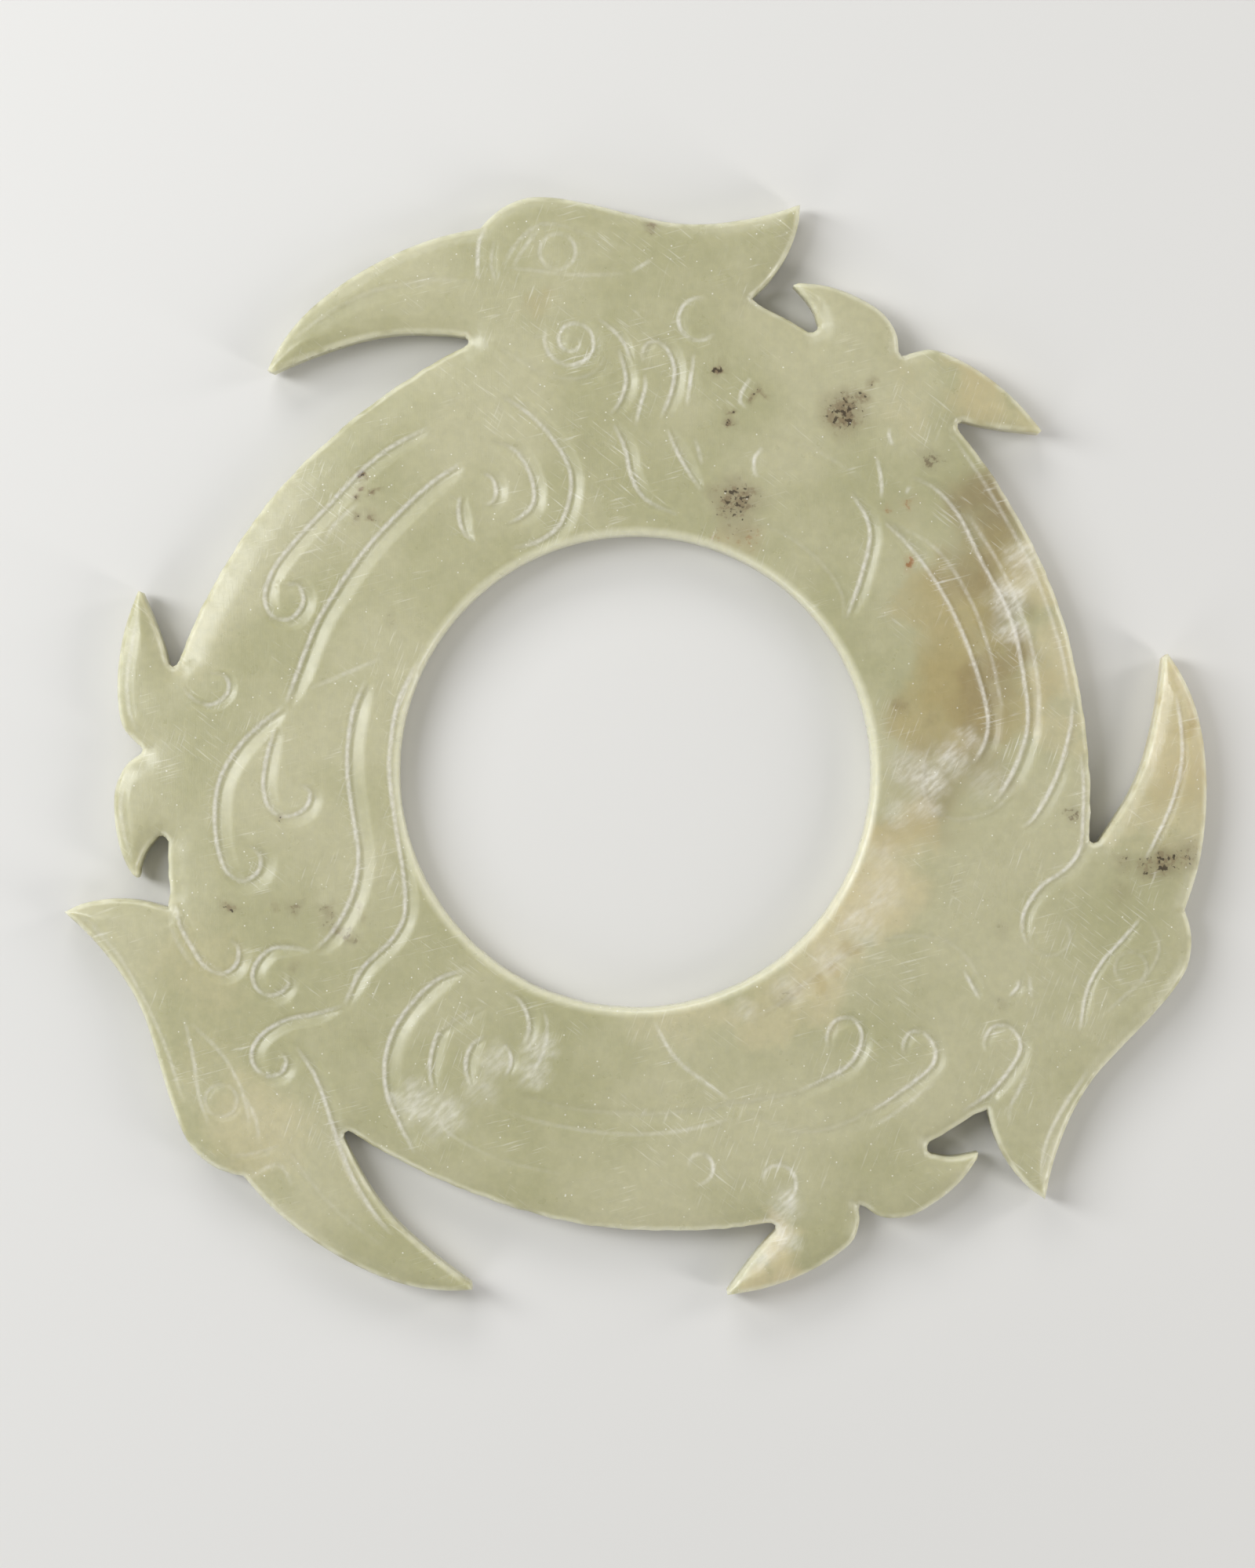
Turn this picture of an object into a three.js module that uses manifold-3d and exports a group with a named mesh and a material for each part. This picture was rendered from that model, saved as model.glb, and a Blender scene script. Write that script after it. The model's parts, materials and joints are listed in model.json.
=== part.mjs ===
// A jade xuanji disc: a flat ring whose rim is cut into three birds that chase each other round it.
// Millimetres, +Z up. The carved face looks up, the plainer one lies down, and the origin is the middle
// of the underside's bounding box. A place on the disc is [bearing, out]: degrees clockwise from the
// bird's own heading, seen from above, and millimetres out from the ring's edge.
import * as THREE from 'three';
import { mergeVertices } from 'three/addons/utils/BufferGeometryUtils.js';
import Module from 'manifold-3d';

// Driving sizes
const THICKNESS = 5;
const RING_RADIUS = 48.5; // the edge that the birds stand out from
const BORE_RADIUS = 25.2;
const RIM_BAND = 2.8; // height of the upright band round the rim
const RIM_SLOPE = 1.4; // how far the slope above and below that band reaches in
const BORE_BAND = 3.8;
const BORE_SLOPE = 0.9;

// Carving tools: how wide and deep each one cuts
const BOLD = { width: 2.2, depth: 0.6 };
const FULL = { width: 1.8, depth: 0.5 };
const THIN = { width: 1.2, depth: 0.35 };
const CUT_SHARE_BELOW = 0.75; // depth of the underside's lines against the carved face's
const RUN_OUT = 2.4; // length over which a line fades at its ends
const STEEP_BEARING = 110; // the broad side of every cut looks this way, the steep side faces it
const LINE_SHIFT = 0.6; // from the steep lip's line to the middle of the cut, where it lies square to that
const FLOOR_SHIFT = 0.35; // from the middle of the cut back to its floor
const CUT_CLEARANCE = 0.12; // how far a cutter stands proud of the face
const END_CLEARANCE = CUT_CLEARANCE / 3; // how far its floor stands proud of the face at a line's ends
const WELD_GAP = 1e-4; // corners closer than this are one

// Steps along the curves
const OUTLINE_STEP = 2.5;
const CUT_STEP = 2.6;
const CURL_STEP_DEGREES = 40;
const BORE_STEPS = 72;

const RAD = Math.PI / 180;
const MM_PER_DEGREE = RING_RADIUS * RAD;
const JADE_COLOUR = 0xc6c8a2;
const JADE_ROUGHNESS = 0.32;

// The three birds: which way each heads, and how far it stands out against the drawing
const BIRDS = [
  { name: 'top', heading: 0, reach: 1 },
  { name: 'right', heading: 120, reach: 1.01 },
  { name: 'left', heading: 240, reach: 0.98 },
];

// One bird's rim, in stretches that meet at corners: each runs on to the first place of the next
const BIRD_RIM = {
  beakNotch: [[-22, 0.3], [-21.1, 0.6]],
  beakUnder: [[-21.4, 1.4], [-24.5, 2.8], [-28, 4.4], [-31.5, 5.7], [-35.5, 6.9], [-39.2, 8]],
  beakTip: [[-42.2, 8.9]],
  beakTop: [[-42.5, 9.5], [-40, 10.5], [-36.8, 11.4], [-33.5, 11.9], [-29.5, 12.2], [-25, 12.3],
    [-20.8, 12.2]],
  crown: [[-15.9, 11.7], [-14.7, 12.5], [-13, 13.3], [-10.6, 13.7], [-8.3, 13.3], [-5, 12.3], [-0.5, 10.9],
    [3.8, 10.1], [7.8, 10.4], [11.8, 11.7], [14.4, 13.1]],
  crestUnder: [[16.2, 14.4], [16.6, 12.1], [16.3, 8.7], [15.3, 5.8]],
  shelf: [[13.8, 3.4], [15.6, 2.7], [17.9, 2.4], [20.3, 2]],
  finNotch: [[21.5, 1.8], [22.3, 2.2]],
  firstFinInner: [[22.3, 2.9], [20.8, 4.4]],
  firstFinTip: [[18, 6]],
  firstFinBack: [[18.5, 6.4], [21.5, 7.1], [25, 7.3], [28.3, 7], [30.8, 5.8]],
  saddle: [[32.1, 4.3], [32.7, 4.1]],
  secondFinBack: [[33.3, 4.8], [35, 6.4], [37.6, 7.2], [41.2, 7.8], [45.5, 8.1]],
  secondFinTip: [[50, 8]],
  secondFinUnder: [[50, 7.6], [48, 5.8], [45.1, 3.7]],
  lastNotch: [[43, 2.6], [42.8, 1.9]],
  ringEdge: [[43.8, 1.5], [49.5, 1], [57, 0.4], [66, 0], [75, -0.3], [83.5, -0.4], [91, -0.1]],
};

// The carved face's lines, bird by bird, each along the steep lip of its cut. They were cut freehand,
// so the three birds differ.
const CARVED = {
  top: {
    cere: [THIN, [-15.8, 11.4], [-16.7, 10], [-17.3, 7.9], [-17.7, 6.3]],
    mouth: [FULL, [-18.2, 6.4], [-21.7, 7.8], [-25, 8.8], [-29.1, 9.8], [-33.4, 10.2], [-38.5, 10.2]],
    upperLid: [THIN, [-14.6, 7.4], [-13, 8.8], [-10.4, 10.4], [-7.1, 9.8], [-2.6, 7.6], [-0.4, 7.1]],
    jaw: [FULL, [-18.4, -0.5], [-16, -2.9], [-13.7, -4.6], [-11, -5.8], [-7.9, -6.2], [-5.3, -5.4],
      [-4, -4.1]],
    cheekBand: [FULL, [-5, 0], [-3, -1.4], [-1.5, -3], [-0.4, -5.3]],
    neckFront: [FULL, [-2.3, -3.5], [-1.5, -6], [-1.4, -7], [-2.4, -9], [-4.1, -10.5]],
    neckFrontLow: [FULL, [-3.7, -11.3], [-1.9, -14.1], [-0.8, -17.1], [1.9, -19.4], [9.6, -20.9]],
    neckBack: [FULL, [3.5, -3.1], [5.2, -4.7], [5.6, -6], [5.3, -8.2], [4, -10.9]],
    neckBackLow: [FULL, [5.2, -11.8], [7.2, -14], [9.5, -15.8], [13.4, -17.9]],
    wingInnerTop: [THIN, [24.3, -9.6], [30.4, -9.3], [38.1, -9.3]],
    wingInner: [FULL, [37.5, -11], [42.3, -12], [44.9, -13.2], [49.1, -16.8], [54.1, -20.9]],
    boreLine: [FULL, [25.2, -18.9], [33.5, -18.7], [41.4, -18.8], [49.3, -19.6], [54.5, -21.3]],
    wingOuter: [BOLD, [42.8, -5.6], [46.5, -4.7], [51.1, -4.6], [58.5, -5.4], [67.8, -5.4], [75.9, -6],
      [83, -6.5], [87.5, -7.6], [94.8, -10.4]],
    wingMiddle: [BOLD, [44.5, -11], [50.3, -10.8], [59.7, -10.7], [70.8, -10.7], [81.3, -10.6], [85, -11.2],
      [88.8, -12.7]],
    wingEdge: [FULL, [80.6, -1.3], [84.5, -2.1], [90.7, -3.8], [98.4, -7.1]],
    volute: [FULL, [83.5, -16.1], [86.6, -17.6], [90.9, -18], [95.5, -17.4], [98.2, -15.7], [97.7, -12.3],
      [95.2, -9.6]],
  },
  right: {
    neckEdge: [FULL, [-32.7, -1.1], [-28.4, -0.8], [-23.6, -0.6], [-20.4, -0.5], [-17.7, -1.4], [-14, -3.8],
      [-10.2, -4.6], [-8.2, -4.1]],
    upperLid: [FULL, [-14.1, 7.5], [-11.2, 6.3], [-7.7, 5], [-4.2, 4.8], [0.4, 6.2]],
    mouth: [FULL, [-20, 6.4], [-23.1, 7.4], [-27, 8.7], [-31.2, 9.6], [-34.7, 9.7], [-38.4, 9.5]],
    shoulderArch: [FULL, [34.5, -19.5], [26.4, -19.5], [17.7, -19.7], [10.4, -18.9], [4, -17.3]],
    shoulderArchEnd: [FULL, [5, -17.2], [0.8, -14.5], [-1.2, -11.4], [-1.1, -8.9], [0.5, -6.5], [2, -4.5]],
    firstHook: [BOLD, [25.2, -12.6], [24, -13.9], [21.5, -14.6], [19, -13.9], [18.7, -12.4], [20.1, -11.1],
      [23.8, -10], [29.4, -10.2], [38.4, -11.2]],
    secondHook: [BOLD, [16.7, -6.9], [15.6, -7.9], [13.5, -8.3], [12.2, -7.1], [12.8, -5.1], [14.4, -4.2],
      [17.5, -4.2], [22.5, -4.6], [33, -6.2]],
    thirdHook: [FULL, [8.7, -0.8], [7.8, -1.7], [5.7, -1.9], [4.4, -0.7], [4.7, 1], [5.8, 1.9], [8.4, 2.3],
      [16.2, 1.6]],
    wingInner: [BOLD, [56, -22.1], [51.9, -17.7], [47.2, -14.6], [43.4, -11.7]],
    wingOuter: [BOLD, [42.9, -11.7], [50.8, -12], [61.3, -12.2], [71.8, -12.1], [80.6, -12.1]],
    firstCurl: [FULL, [53.8, -7.1], [52.9, -8], [51.2, -8.3], [49.9, -7.1], [50.8, -5]],
    secondCurl: [FULL, [42.8, -4.1], [41.8, -4.8], [40.1, -4.9], [38.8, -1.9], [41, 0]],
    voluteOuter: [BOLD, [100.9, -20.7], [103.7, -17.9], [104, -14], [103, -10.6], [101, -7.9], [97.9, -5.4],
      [89.9, -1.6]],
    voluteMiddle: [FULL, [96.2, -15.6], [97, -13.9], [96.2, -11.9], [92.3, -8.3]],
    voluteInner: [FULL, [89.7, -16.2], [90.9, -14.9], [90.7, -13.4], [87.6, -10.7]],
    voluteRight: [FULL, [91.4, -21.3], [86.6, -21.2], [83.4, -19.8], [82.5, -17.1]],
  },
  left: {
    napeScroll: [FULL, [-8.7, -8.8], [-7, -5.7], [-5.3, -2.8], [-5.1, 0], [-6, 1.9], [-7.6, 2.7], [-9.5, 2.3],
      [-10.3, 0.7], [-9.4, -0.4]],
    faceLine: [BOLD, [-8.9, -2.1], [-13.3, -1.6], [-17.3, -0.1], [-20.8, 1.8], [-25.5, 4.3], [-32.4, 7.1]],
    upperLid: [THIN, [1.5, 6.1], [-3, 7.5], [-6.7, 9.3], [-9.8, 10.4]],
    lowerLid: [THIN, [0.7, 5.8], [-4.4, 4.7], [-8.5, 5.2], [-12.8, 7.5]],
    cere: [THIN, [-16, 8.3], [-16.6, 5.8]],
    mouth: [FULL, [-16.9, 6], [-19.4, 6.6], [-26.5, 8], [-32, 8.6]],
    crestCurl: [FULL, [14.1, 2.4], [11.4, 2.6], [8.4, 2.2], [5.6, 1.7], [4, 0.4], [4.3, -1.4], [6.2, -2.3]],
    cheekScroll: [FULL, [1, -9.3], [3, -7.4], [4.1, -5.4], [3.2, -3.3], [1.8, -2.3], [-0.3, -2.2],
      [-1.7, -3.4], [-1.5, -5.2]],
    neckLine: [BOLD, [48.9, -18.2], [42.5, -17.8], [29.1, -17.9], [21.2, -18.1], [12.4, -17.6], [6.3, -15.5],
      [1, -9.3]],
    boreLine: [FULL, [57.1, -22.5], [46, -22.2], [30.7, -22.3], [18.8, -22.4], [3.6, -21.1], [-2.1, -19.4],
      [-4.5, -17], [-8.7, -8.8]],
    wingInner: [BOLD, [90.9, -10.8], [77.9, -11.2], [62.1, -11.3], [49, -11.1], [40.7, -10.6]],
    wingHook: [BOLD, [40.7, -10.6], [32.6, -5.7], [23.7, -3.5], [18.8, -3.4], [15.9, -3.9], [14.5, -5.2],
      [15.2, -7], [17.3, -7.6]],
    wingOuter: [FULL, [89.1, -5.8], [77.8, -5.2], [64.5, -4.8], [58.6, -4.4], [54.8, -5.1], [53.2, -6.6],
      [54, -8.4], [57.2, -8.8], [58.9, -7.4]],
    finHook: [FULL, [37.6, -10], [32.5, -9.3], [27.2, -8.9], [23.9, -9.6], [22.7, -11.2], [23.9, -13.3],
      [26.4, -13.8]],
    finCurl: [THIN, [40.8, 0.5], [39.5, -0.6], [38.9, -2.3], [39.7, -3.7], [41.5, -4.4], [43.1, -3.7]],
    voluteOuter: [FULL, [100.2, -5.9], [106.2, -12.3], [107.7, -15.8], [106.5, -18.5], [102.7, -21.1],
      [90.7, -21.3]],
    voluteMiddle: [FULL, [96.3, -9.9], [99.5, -12.1], [100.5, -15.5], [99, -18], [92.5, -18.7]],
    voluteInner: [FULL, [92.6, -12.4], [93.9, -13.8], [93.7, -15], [90.5, -16]],
    voluteLeft: [FULL, [87.7, -13.7], [85.9, -14.9], [84.4, -17.1], [85, -18.7]],
  },
};

// Scrolls and eyes: middle, first and last radius, the direction that the line starts in and how far it turns
const SCROLLS = {
  top: {
    eye: [THIN, [-8.5, 7.4], 1.9, 1.9, 0, 360],
    cheekScroll: [FULL, [-8.3, -2.2], 0.9, 2.8, 40, 560],
    backScroll: [THIN, [8, 0.1], 1, 2.2, 100, 400],
  },
  right: {
    eye: [THIN, [-8.4, 8.1], 1.7, 1.7, 0, 360],
    cheekScroll: [FULL, [-8.9, -1.1], 3, 1.4, 270, -270],
  },
  left: {
    eye: [THIN, [-8.4, 7.7], 1.7, 1.7, 0, 360],
  },
};

// The underside's few lines, the same for all three birds
const UNDERSIDE = {
  cere: [THIN, [-15.8, 11.2], [-17, 9], [-17.6, 6.2]],
  mouth: [FULL, [-18.2, 6.4], [-25, 8.2], [-32, 9], [-38.5, 9.3]],
  wing: [FULL, [92, -10], [75, -10.6], [56, -10.6], [41, -10.4], [32, -7], [24, -5], [17, -5.4], [15.5, -7.5],
    [19, -8.5]],
  wingOuter: [FULL, [86, -4.6], [72, -5], [59, -4.6], [55, -6.6], [57.5, -8.3]],
};
const UNDERSIDE_EYE = [THIN, [-8.5, 7.4], 1.9, 1.9, 0, 360];

const wasm = await Module();
wasm.setup();

// From a bearing and a distance out to a point, measured from the middle of the bore
function place([bearing, out], heading) {
  const angle = (heading + bearing) * RAD;
  const radius = RING_RADIUS + out;
  return new THREE.Vector2(radius * Math.sin(angle), radius * Math.cos(angle));
}

// One stretch of a bird's rim, smooth along the rim, without its last point
function rimStretch(places, bird) {
  const unroll = ([bearing, out]) => new THREE.Vector3(bearing * MM_PER_DEGREE, out * bird.reach, 0);
  const unrolled = places.map(unroll);
  const curve = new THREE.CatmullRomCurve3(unrolled, false, 'centripetal');
  const steps = Math.max(places.length - 1, Math.round(curve.getLength() / OUTLINE_STEP));
  const points = [];
  for (let i = 0; i < steps; i += 1) {
    const at = curve.getPoint(i / steps);
    points.push(place([at.x / MM_PER_DEGREE, at.y], bird.heading));
  }
  return points;
}

// The whole rim, clockwise: bird after bird, each stretch running on to the next one's first place
function rimOutline() {
  const turn = 360 / BIRDS.length;
  const [firstPlace] = BIRD_RIM.beakNotch;
  const nextBird = [firstPlace[0] + turn, firstPlace[1]];
  const stretches = Object.values(BIRD_RIM);
  return BIRDS.flatMap((bird) => stretches.flatMap((places, i) => {
    const onward = i + 1 < stretches.length ? stretches[i + 1][0] : nextBird;
    return rimStretch([...places, onward], bird);
  }));
}

// How far a point is from the nearest side of a closed outline
function distanceTo(outline, point) {
  let least = Infinity;
  const nearest = new THREE.Vector3();
  const side = new THREE.Line3();
  const at = new THREE.Vector3(point.x, point.y, 0);
  outline.forEach((corner, i) => {
    const next = outline[(i + 1) % outline.length];
    side.start.set(corner.x, corner.y, 0);
    side.end.set(next.x, next.y, 0);
    side.closestPointToPoint(at, true, nearest);
    least = Math.min(least, nearest.distanceTo(at));
  });
  return least;
}

// How far in from a corner of the outline there is room, up to a limit: little where the bird is narrow
function roomAt(outline, corner, inward, limit) {
  const HALVINGS = 7;
  const CLEAR_SHARE = 0.75;
  const clearance = (reach) => distanceTo(outline, corner.clone().addScaledVector(inward, reach));
  const hasRoom = (reach) => clearance(reach) > CLEAR_SHARE * reach;
  if (hasRoom(limit)) {
    return limit;
  }
  let room = 0;
  let tooFar = limit;
  for (let i = 0; i < HALVINGS; i += 1) {
    const reach = (room + tooFar) / 2;
    if (hasRoom(reach)) {
      room = reach;
    } else {
      tooFar = reach;
    }
  }
  return room;
}

// The outline moved in by the rim's slope, or by a share of the room where the bird is narrow
function slopedIn(outline) {
  const NARROW_SHARE = 0.8;
  const LEAST_REACH = 0.12;
  return outline.map((point, i) => {
    const before = outline[(i + outline.length - 1) % outline.length];
    const after = outline[(i + 1) % outline.length];
    const along = after.clone().sub(point).normalize().add(point.clone().sub(before).normalize()).normalize();
    const inward = new THREE.Vector2(along.y, -along.x);
    const room = roomAt(outline, point, inward, RIM_SLOPE / NARROW_SHARE);
    const reach = Math.max(LEAST_REACH, NARROW_SHARE * room);
    return { at: point.clone().addScaledVector(inward, reach), share: reach / RIM_SLOPE };
  });
}

// A loop of points at one height each, added to a list of corners; gives the first one's number
function addLoop(corners, points, height) {
  const first = corners.length / 3;
  points.forEach((point, i) => corners.push(point.x, point.y, height(i)));
  return first;
}

// A band of triangles from one loop to the next
function band(faces, from, to, count) {
  for (let i = 0; i < count; i += 1) {
    const next = (i + 1) % count;
    faces.push(from + i, from + next, to + next, from + i, to + next, to + i);
  }
}

function toSolid(corners, faces) {
  return new wasm.Manifold(new wasm.Mesh({
    numProp: 3,
    vertProperties: new Float32Array(corners),
    triVerts: new Uint32Array(faces),
  }));
}

// The plain disc: outline, bore and their sloped edges, with both faces flat
function plainDisc() {
  const rim = rimOutline().reverse();
  const inner = slopedIn(rim.slice().reverse()).reverse();
  const innerPoints = inner.map((place) => place.at);
  const bore = [];
  const boreInner = [];
  for (let i = 0; i < BORE_STEPS; i += 1) {
    const angle = -360 * RAD * (i / BORE_STEPS);
    const direction = new THREE.Vector2(Math.cos(angle), Math.sin(angle));
    bore.push(direction.clone().multiplyScalar(BORE_RADIUS));
    boreInner.push(direction.clone().multiplyScalar(BORE_RADIUS + BORE_SLOPE));
  }
  const rimLow = (THICKNESS - RIM_BAND) / 2;
  const boreLow = (THICKNESS - BORE_BAND) / 2;
  const corners = [];
  const faces = [];
  const loops = [
    addLoop(corners, innerPoints, (i) => rimLow * (1 - inner[i].share)),
    addLoop(corners, rim, () => rimLow),
    addLoop(corners, rim, () => THICKNESS - rimLow),
    addLoop(corners, innerPoints, (i) => THICKNESS - rimLow * (1 - inner[i].share)),
  ];
  const boreLoops = [
    addLoop(corners, boreInner, () => 0),
    addLoop(corners, bore, () => boreLow),
    addLoop(corners, bore, () => THICKNESS - boreLow),
    addLoop(corners, boreInner, () => THICKNESS),
  ];
  for (let k = 0; k < 3; k += 1) {
    band(faces, loops[k], loops[k + 1], rim.length);
    band(faces, boreLoops[k], boreLoops[k + 1], BORE_STEPS);
  }
  const number = (first, boreFirst, i) => (i < rim.length ? first + i : boreFirst + i - rim.length);
  for (const [a, b, c] of THREE.ShapeUtils.triangulateShape(innerPoints.slice(), [boreInner.slice()])) {
    const top = [a, b, c].map((i) => number(loops[3], boreLoops[3], i));
    const under = [a, b, c].map((i) => number(loops[0], boreLoops[0], i));
    faces.push(top[0], top[1], top[2], under[2], under[1], under[0]);
  }
  return { solid: toSolid(corners, faces), rim };
}

// A cutter for one carved line: a three-sided bar whose floor rises out of the face at both ends
function lineCutter(path, tool, isClosed, below) {
  const broad = new THREE.Vector2(Math.sin(STEEP_BEARING * RAD), Math.cos(STEEP_BEARING * RAD));
  const depth = tool.depth * (below ? CUT_SHARE_BELOW : 1);
  const lip = (tool.width / 2) * (1 + CUT_CLEARANCE / depth);
  const shift = LINE_SHIFT * (tool.width / FULL.width);
  const floorShift = shift - FLOOR_SHIFT * (tool.width / FULL.width);
  const heightAt = (rise) => (below ? -rise : THICKNESS + rise);
  const count = path.length;
  const lengths = [0];
  for (let i = 1; i < count; i += 1) {
    lengths.push(lengths[i - 1] + path[i].distanceTo(path[i - 1]));
  }
  const total = lengths[count - 1];
  const corners = [];
  path.forEach((point, i) => {
    const before = path[isClosed ? (i + count - 1) % count : Math.max(i - 1, 0)];
    const after = path[isClosed ? (i + 1) % count : Math.min(i + 1, count - 1)];
    const along = after.clone().sub(before).normalize();
    const across = new THREE.Vector2(-along.y, along.x);
    const lean = across.clone().multiplyScalar(across.dot(broad));
    const middle = point.clone().addScaledVector(lean, shift);
    const floor = point.clone().addScaledVector(lean, floorShift);
    const toEnd = Math.min(lengths[i], total - lengths[i]) / Math.min(RUN_OUT, total / 2);
    const fade = isClosed ? 1 : Math.min(1, toEnd);
    const floorRise = END_CLEARANCE - fade * (depth + END_CLEARANCE);
    const left = middle.clone().addScaledVector(across, lip);
    const right = middle.clone().addScaledVector(across, -lip);
    corners.push(left.x, left.y, heightAt(CUT_CLEARANCE));
    corners.push(floor.x, floor.y, heightAt(floorRise));
    corners.push(right.x, right.y, heightAt(CUT_CLEARANCE));
  });
  const faces = [];
  const sections = isClosed ? count : count - 1;
  for (let i = 0; i < sections; i += 1) {
    const here = i * 3;
    const next = ((i + 1) % count) * 3;
    for (let k = 0; k < 3; k += 1) {
      const turn = (k + 1) % 3;
      faces.push(here + k, next + turn, here + turn, here + k, next + k, next + turn);
    }
  }
  if (!isClosed) {
    const last = (count - 1) * 3;
    faces.push(0, 1, 2, last + 2, last + 1, last);
  }
  if (below) {
    faces.reverse();
  }
  return toSolid(corners, faces);
}

// The points of a line through its places
function linePath(places, heading) {
  const points = places.map((at) => place(at, heading)).map(({ x, y }) => new THREE.Vector3(x, y, 0));
  const curve = new THREE.CatmullRomCurve3(points, false, 'centripetal');
  const steps = Math.max(places.length - 1, Math.round(curve.getLength() / CUT_STEP));
  return curve.getSpacedPoints(steps).map((p) => new THREE.Vector2(p.x, p.y));
}

// The points of a scroll round its middle
function scrollPath([, middle, firstRadius, lastRadius, start, turn], heading) {
  const steps = Math.round(Math.abs(turn) / CURL_STEP_DEGREES);
  const centre = place(middle, heading);
  const isRing = Math.abs(turn) === 360 && firstRadius === lastRadius;
  const points = [];
  for (let i = 0; i < (isRing ? steps : steps + 1); i += 1) {
    const share = i / steps;
    const angle = (start + turn * share) * RAD;
    const radius = firstRadius + (lastRadius - firstRadius) * share;
    points.push(centre.clone().add(new THREE.Vector2(radius * Math.sin(angle), radius * Math.cos(angle))));
  }
  return { points, isRing };
}

// All the cutters, for both faces
function carving() {
  const cutters = [];
  const addLines = (lines, bird, below) => {
    for (const [tool, ...places] of Object.values(lines)) {
      cutters.push(lineCutter(linePath(places, bird.heading), tool, false, below));
    }
  };
  const addScroll = (scroll, bird, below) => {
    const { points, isRing } = scrollPath(scroll, bird.heading);
    cutters.push(lineCutter(points, scroll[0], isRing, below));
  };
  for (const bird of BIRDS) {
    addLines(CARVED[bird.name], bird, false);
    Object.values(SCROLLS[bird.name]).forEach((scroll) => addScroll(scroll, bird, false));
    addLines(UNDERSIDE, bird, true);
    addScroll(UNDERSIDE_EYE, bird, true);
  }
  return cutters;
}

// The disc, carved and moved so that the middle of its box is over the origin
function carvedDisc() {
  const { solid, rim } = plainDisc();
  const carved = carving().reduce((disc, cutter) => disc.subtract(cutter), solid);
  const box = new THREE.Box2().setFromPoints(rim);
  const middle = box.getCenter(new THREE.Vector2());
  const { vertProperties, triVerts } = carved.getMesh();
  const raw = new THREE.BufferGeometry();
  raw.setAttribute('position', new THREE.BufferAttribute(vertProperties, 3));
  raw.setIndex(new THREE.BufferAttribute(triVerts, 1));
  raw.translate(-middle.x, -middle.y, 0);
  return mergeVertices(raw, WELD_GAP);
}

const jade = new THREE.MeshStandardMaterial({ color: JADE_COLOUR, roughness: JADE_ROUGHNESS, metalness: 0 });
const disc = new THREE.Mesh(carvedDisc(), jade);
disc.name = 'xuanji_disc';

const object = new THREE.Group();
object.add(disc);
export default object;
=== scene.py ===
"""A jade xuanji disc, lying face up: a flat ring whose rim is cut into three birds that chase each other
round it. The finely carved stone stands for the CAD disc. Shapes are worked out in millimetres from the
middle of the bore, and turned to metres in the frame when a mesh is made."""
import json
import math

import bpy
import numpy as np
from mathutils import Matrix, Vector, noise
from mathutils.geometry import delaunay_2d_cdt


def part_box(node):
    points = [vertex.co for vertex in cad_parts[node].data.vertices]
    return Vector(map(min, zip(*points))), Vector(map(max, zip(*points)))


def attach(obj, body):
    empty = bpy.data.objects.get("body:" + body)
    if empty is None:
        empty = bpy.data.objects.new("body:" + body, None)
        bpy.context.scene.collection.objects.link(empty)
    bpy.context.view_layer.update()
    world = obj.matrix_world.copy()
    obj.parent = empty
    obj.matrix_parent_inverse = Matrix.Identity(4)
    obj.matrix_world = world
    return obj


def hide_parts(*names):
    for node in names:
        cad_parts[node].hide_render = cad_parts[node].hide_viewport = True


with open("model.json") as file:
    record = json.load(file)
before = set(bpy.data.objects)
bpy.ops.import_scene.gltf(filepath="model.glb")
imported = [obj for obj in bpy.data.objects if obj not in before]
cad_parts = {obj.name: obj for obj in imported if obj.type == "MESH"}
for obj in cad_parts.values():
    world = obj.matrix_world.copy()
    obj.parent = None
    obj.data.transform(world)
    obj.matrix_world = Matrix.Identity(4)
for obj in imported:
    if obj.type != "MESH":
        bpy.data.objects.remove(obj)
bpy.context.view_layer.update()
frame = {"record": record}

MM = 0.001
DISC_LOW, DISC_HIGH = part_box("xuanji_disc")
THICKNESS = (DISC_HIGH.z - DISC_LOW.z) / MM
BORE_BOX = frame["record"]["physics"]["openings"][0]["box_m"]
BORE_MIDDLE = np.array([(BORE_BOX[0][i] + BORE_BOX[1][i]) / 2 / MM for i in (0, 1)])

# The disc, in millimetres, as the part's source has it
RING_RADIUS = 48.5
BORE_RADIUS = 25.2
RIM_DROP = 1.1  # from the face down to the upright band of the rim
BORE_DROP = 0.6
MM_PER_DEGREE = math.radians(RING_RADIUS)

# Carving tools: how wide and deep each one cuts, and how white its steep side is painted, partly as an
# unpolished scuff and partly as a painted glint
BOLD = {"width": 2.2, "depth": 0.4, "scuff_and_glint": 0.85}
FULL = {"width": 1.8, "depth": 0.32, "scuff_and_glint": 0.85}
THIN = {"width": 1.2, "depth": 0.21, "scuff_and_glint": 0.8}
FINE = {"width": 0.7, "depth": 0.11, "scuff_and_glint": 0.8}
CURL = {"width": 0.9, "depth": 0.2, "scuff_and_glint": 0.8}
SOFT = {"width": 2.0, "depth": 0.15, "scuff_and_glint": 0.2}
FAINT = {"width": 1.0, "depth": 0.06, "scuff_and_glint": 0.35}
TRACE = {"width": 1.1, "depth": 0.1, "scuff_and_glint": 0.2}
HAIR = {"width": 0.45, "depth": 0.05, "scuff_and_glint": 0.45}
BROAD_WAY = np.array([math.sin(math.radians(110)), math.cos(math.radians(110))])
LINE_SHIFT = 0.6  # from the steep lip's line to the middle of a full cut
FLOOR_SHIFT = 0.2  # from that middle back to the floor
RUN_OUT = 4.0  # length over which a line fades at its ends
UNDERSIDE_SHARE = 0.75
SHARPNESS = 0.3  # how much of a cut's section is a plain V, against a rounded one
LIP_REACH = 0.7  # how far beyond a cut the distance to its lip is still noted

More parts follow.
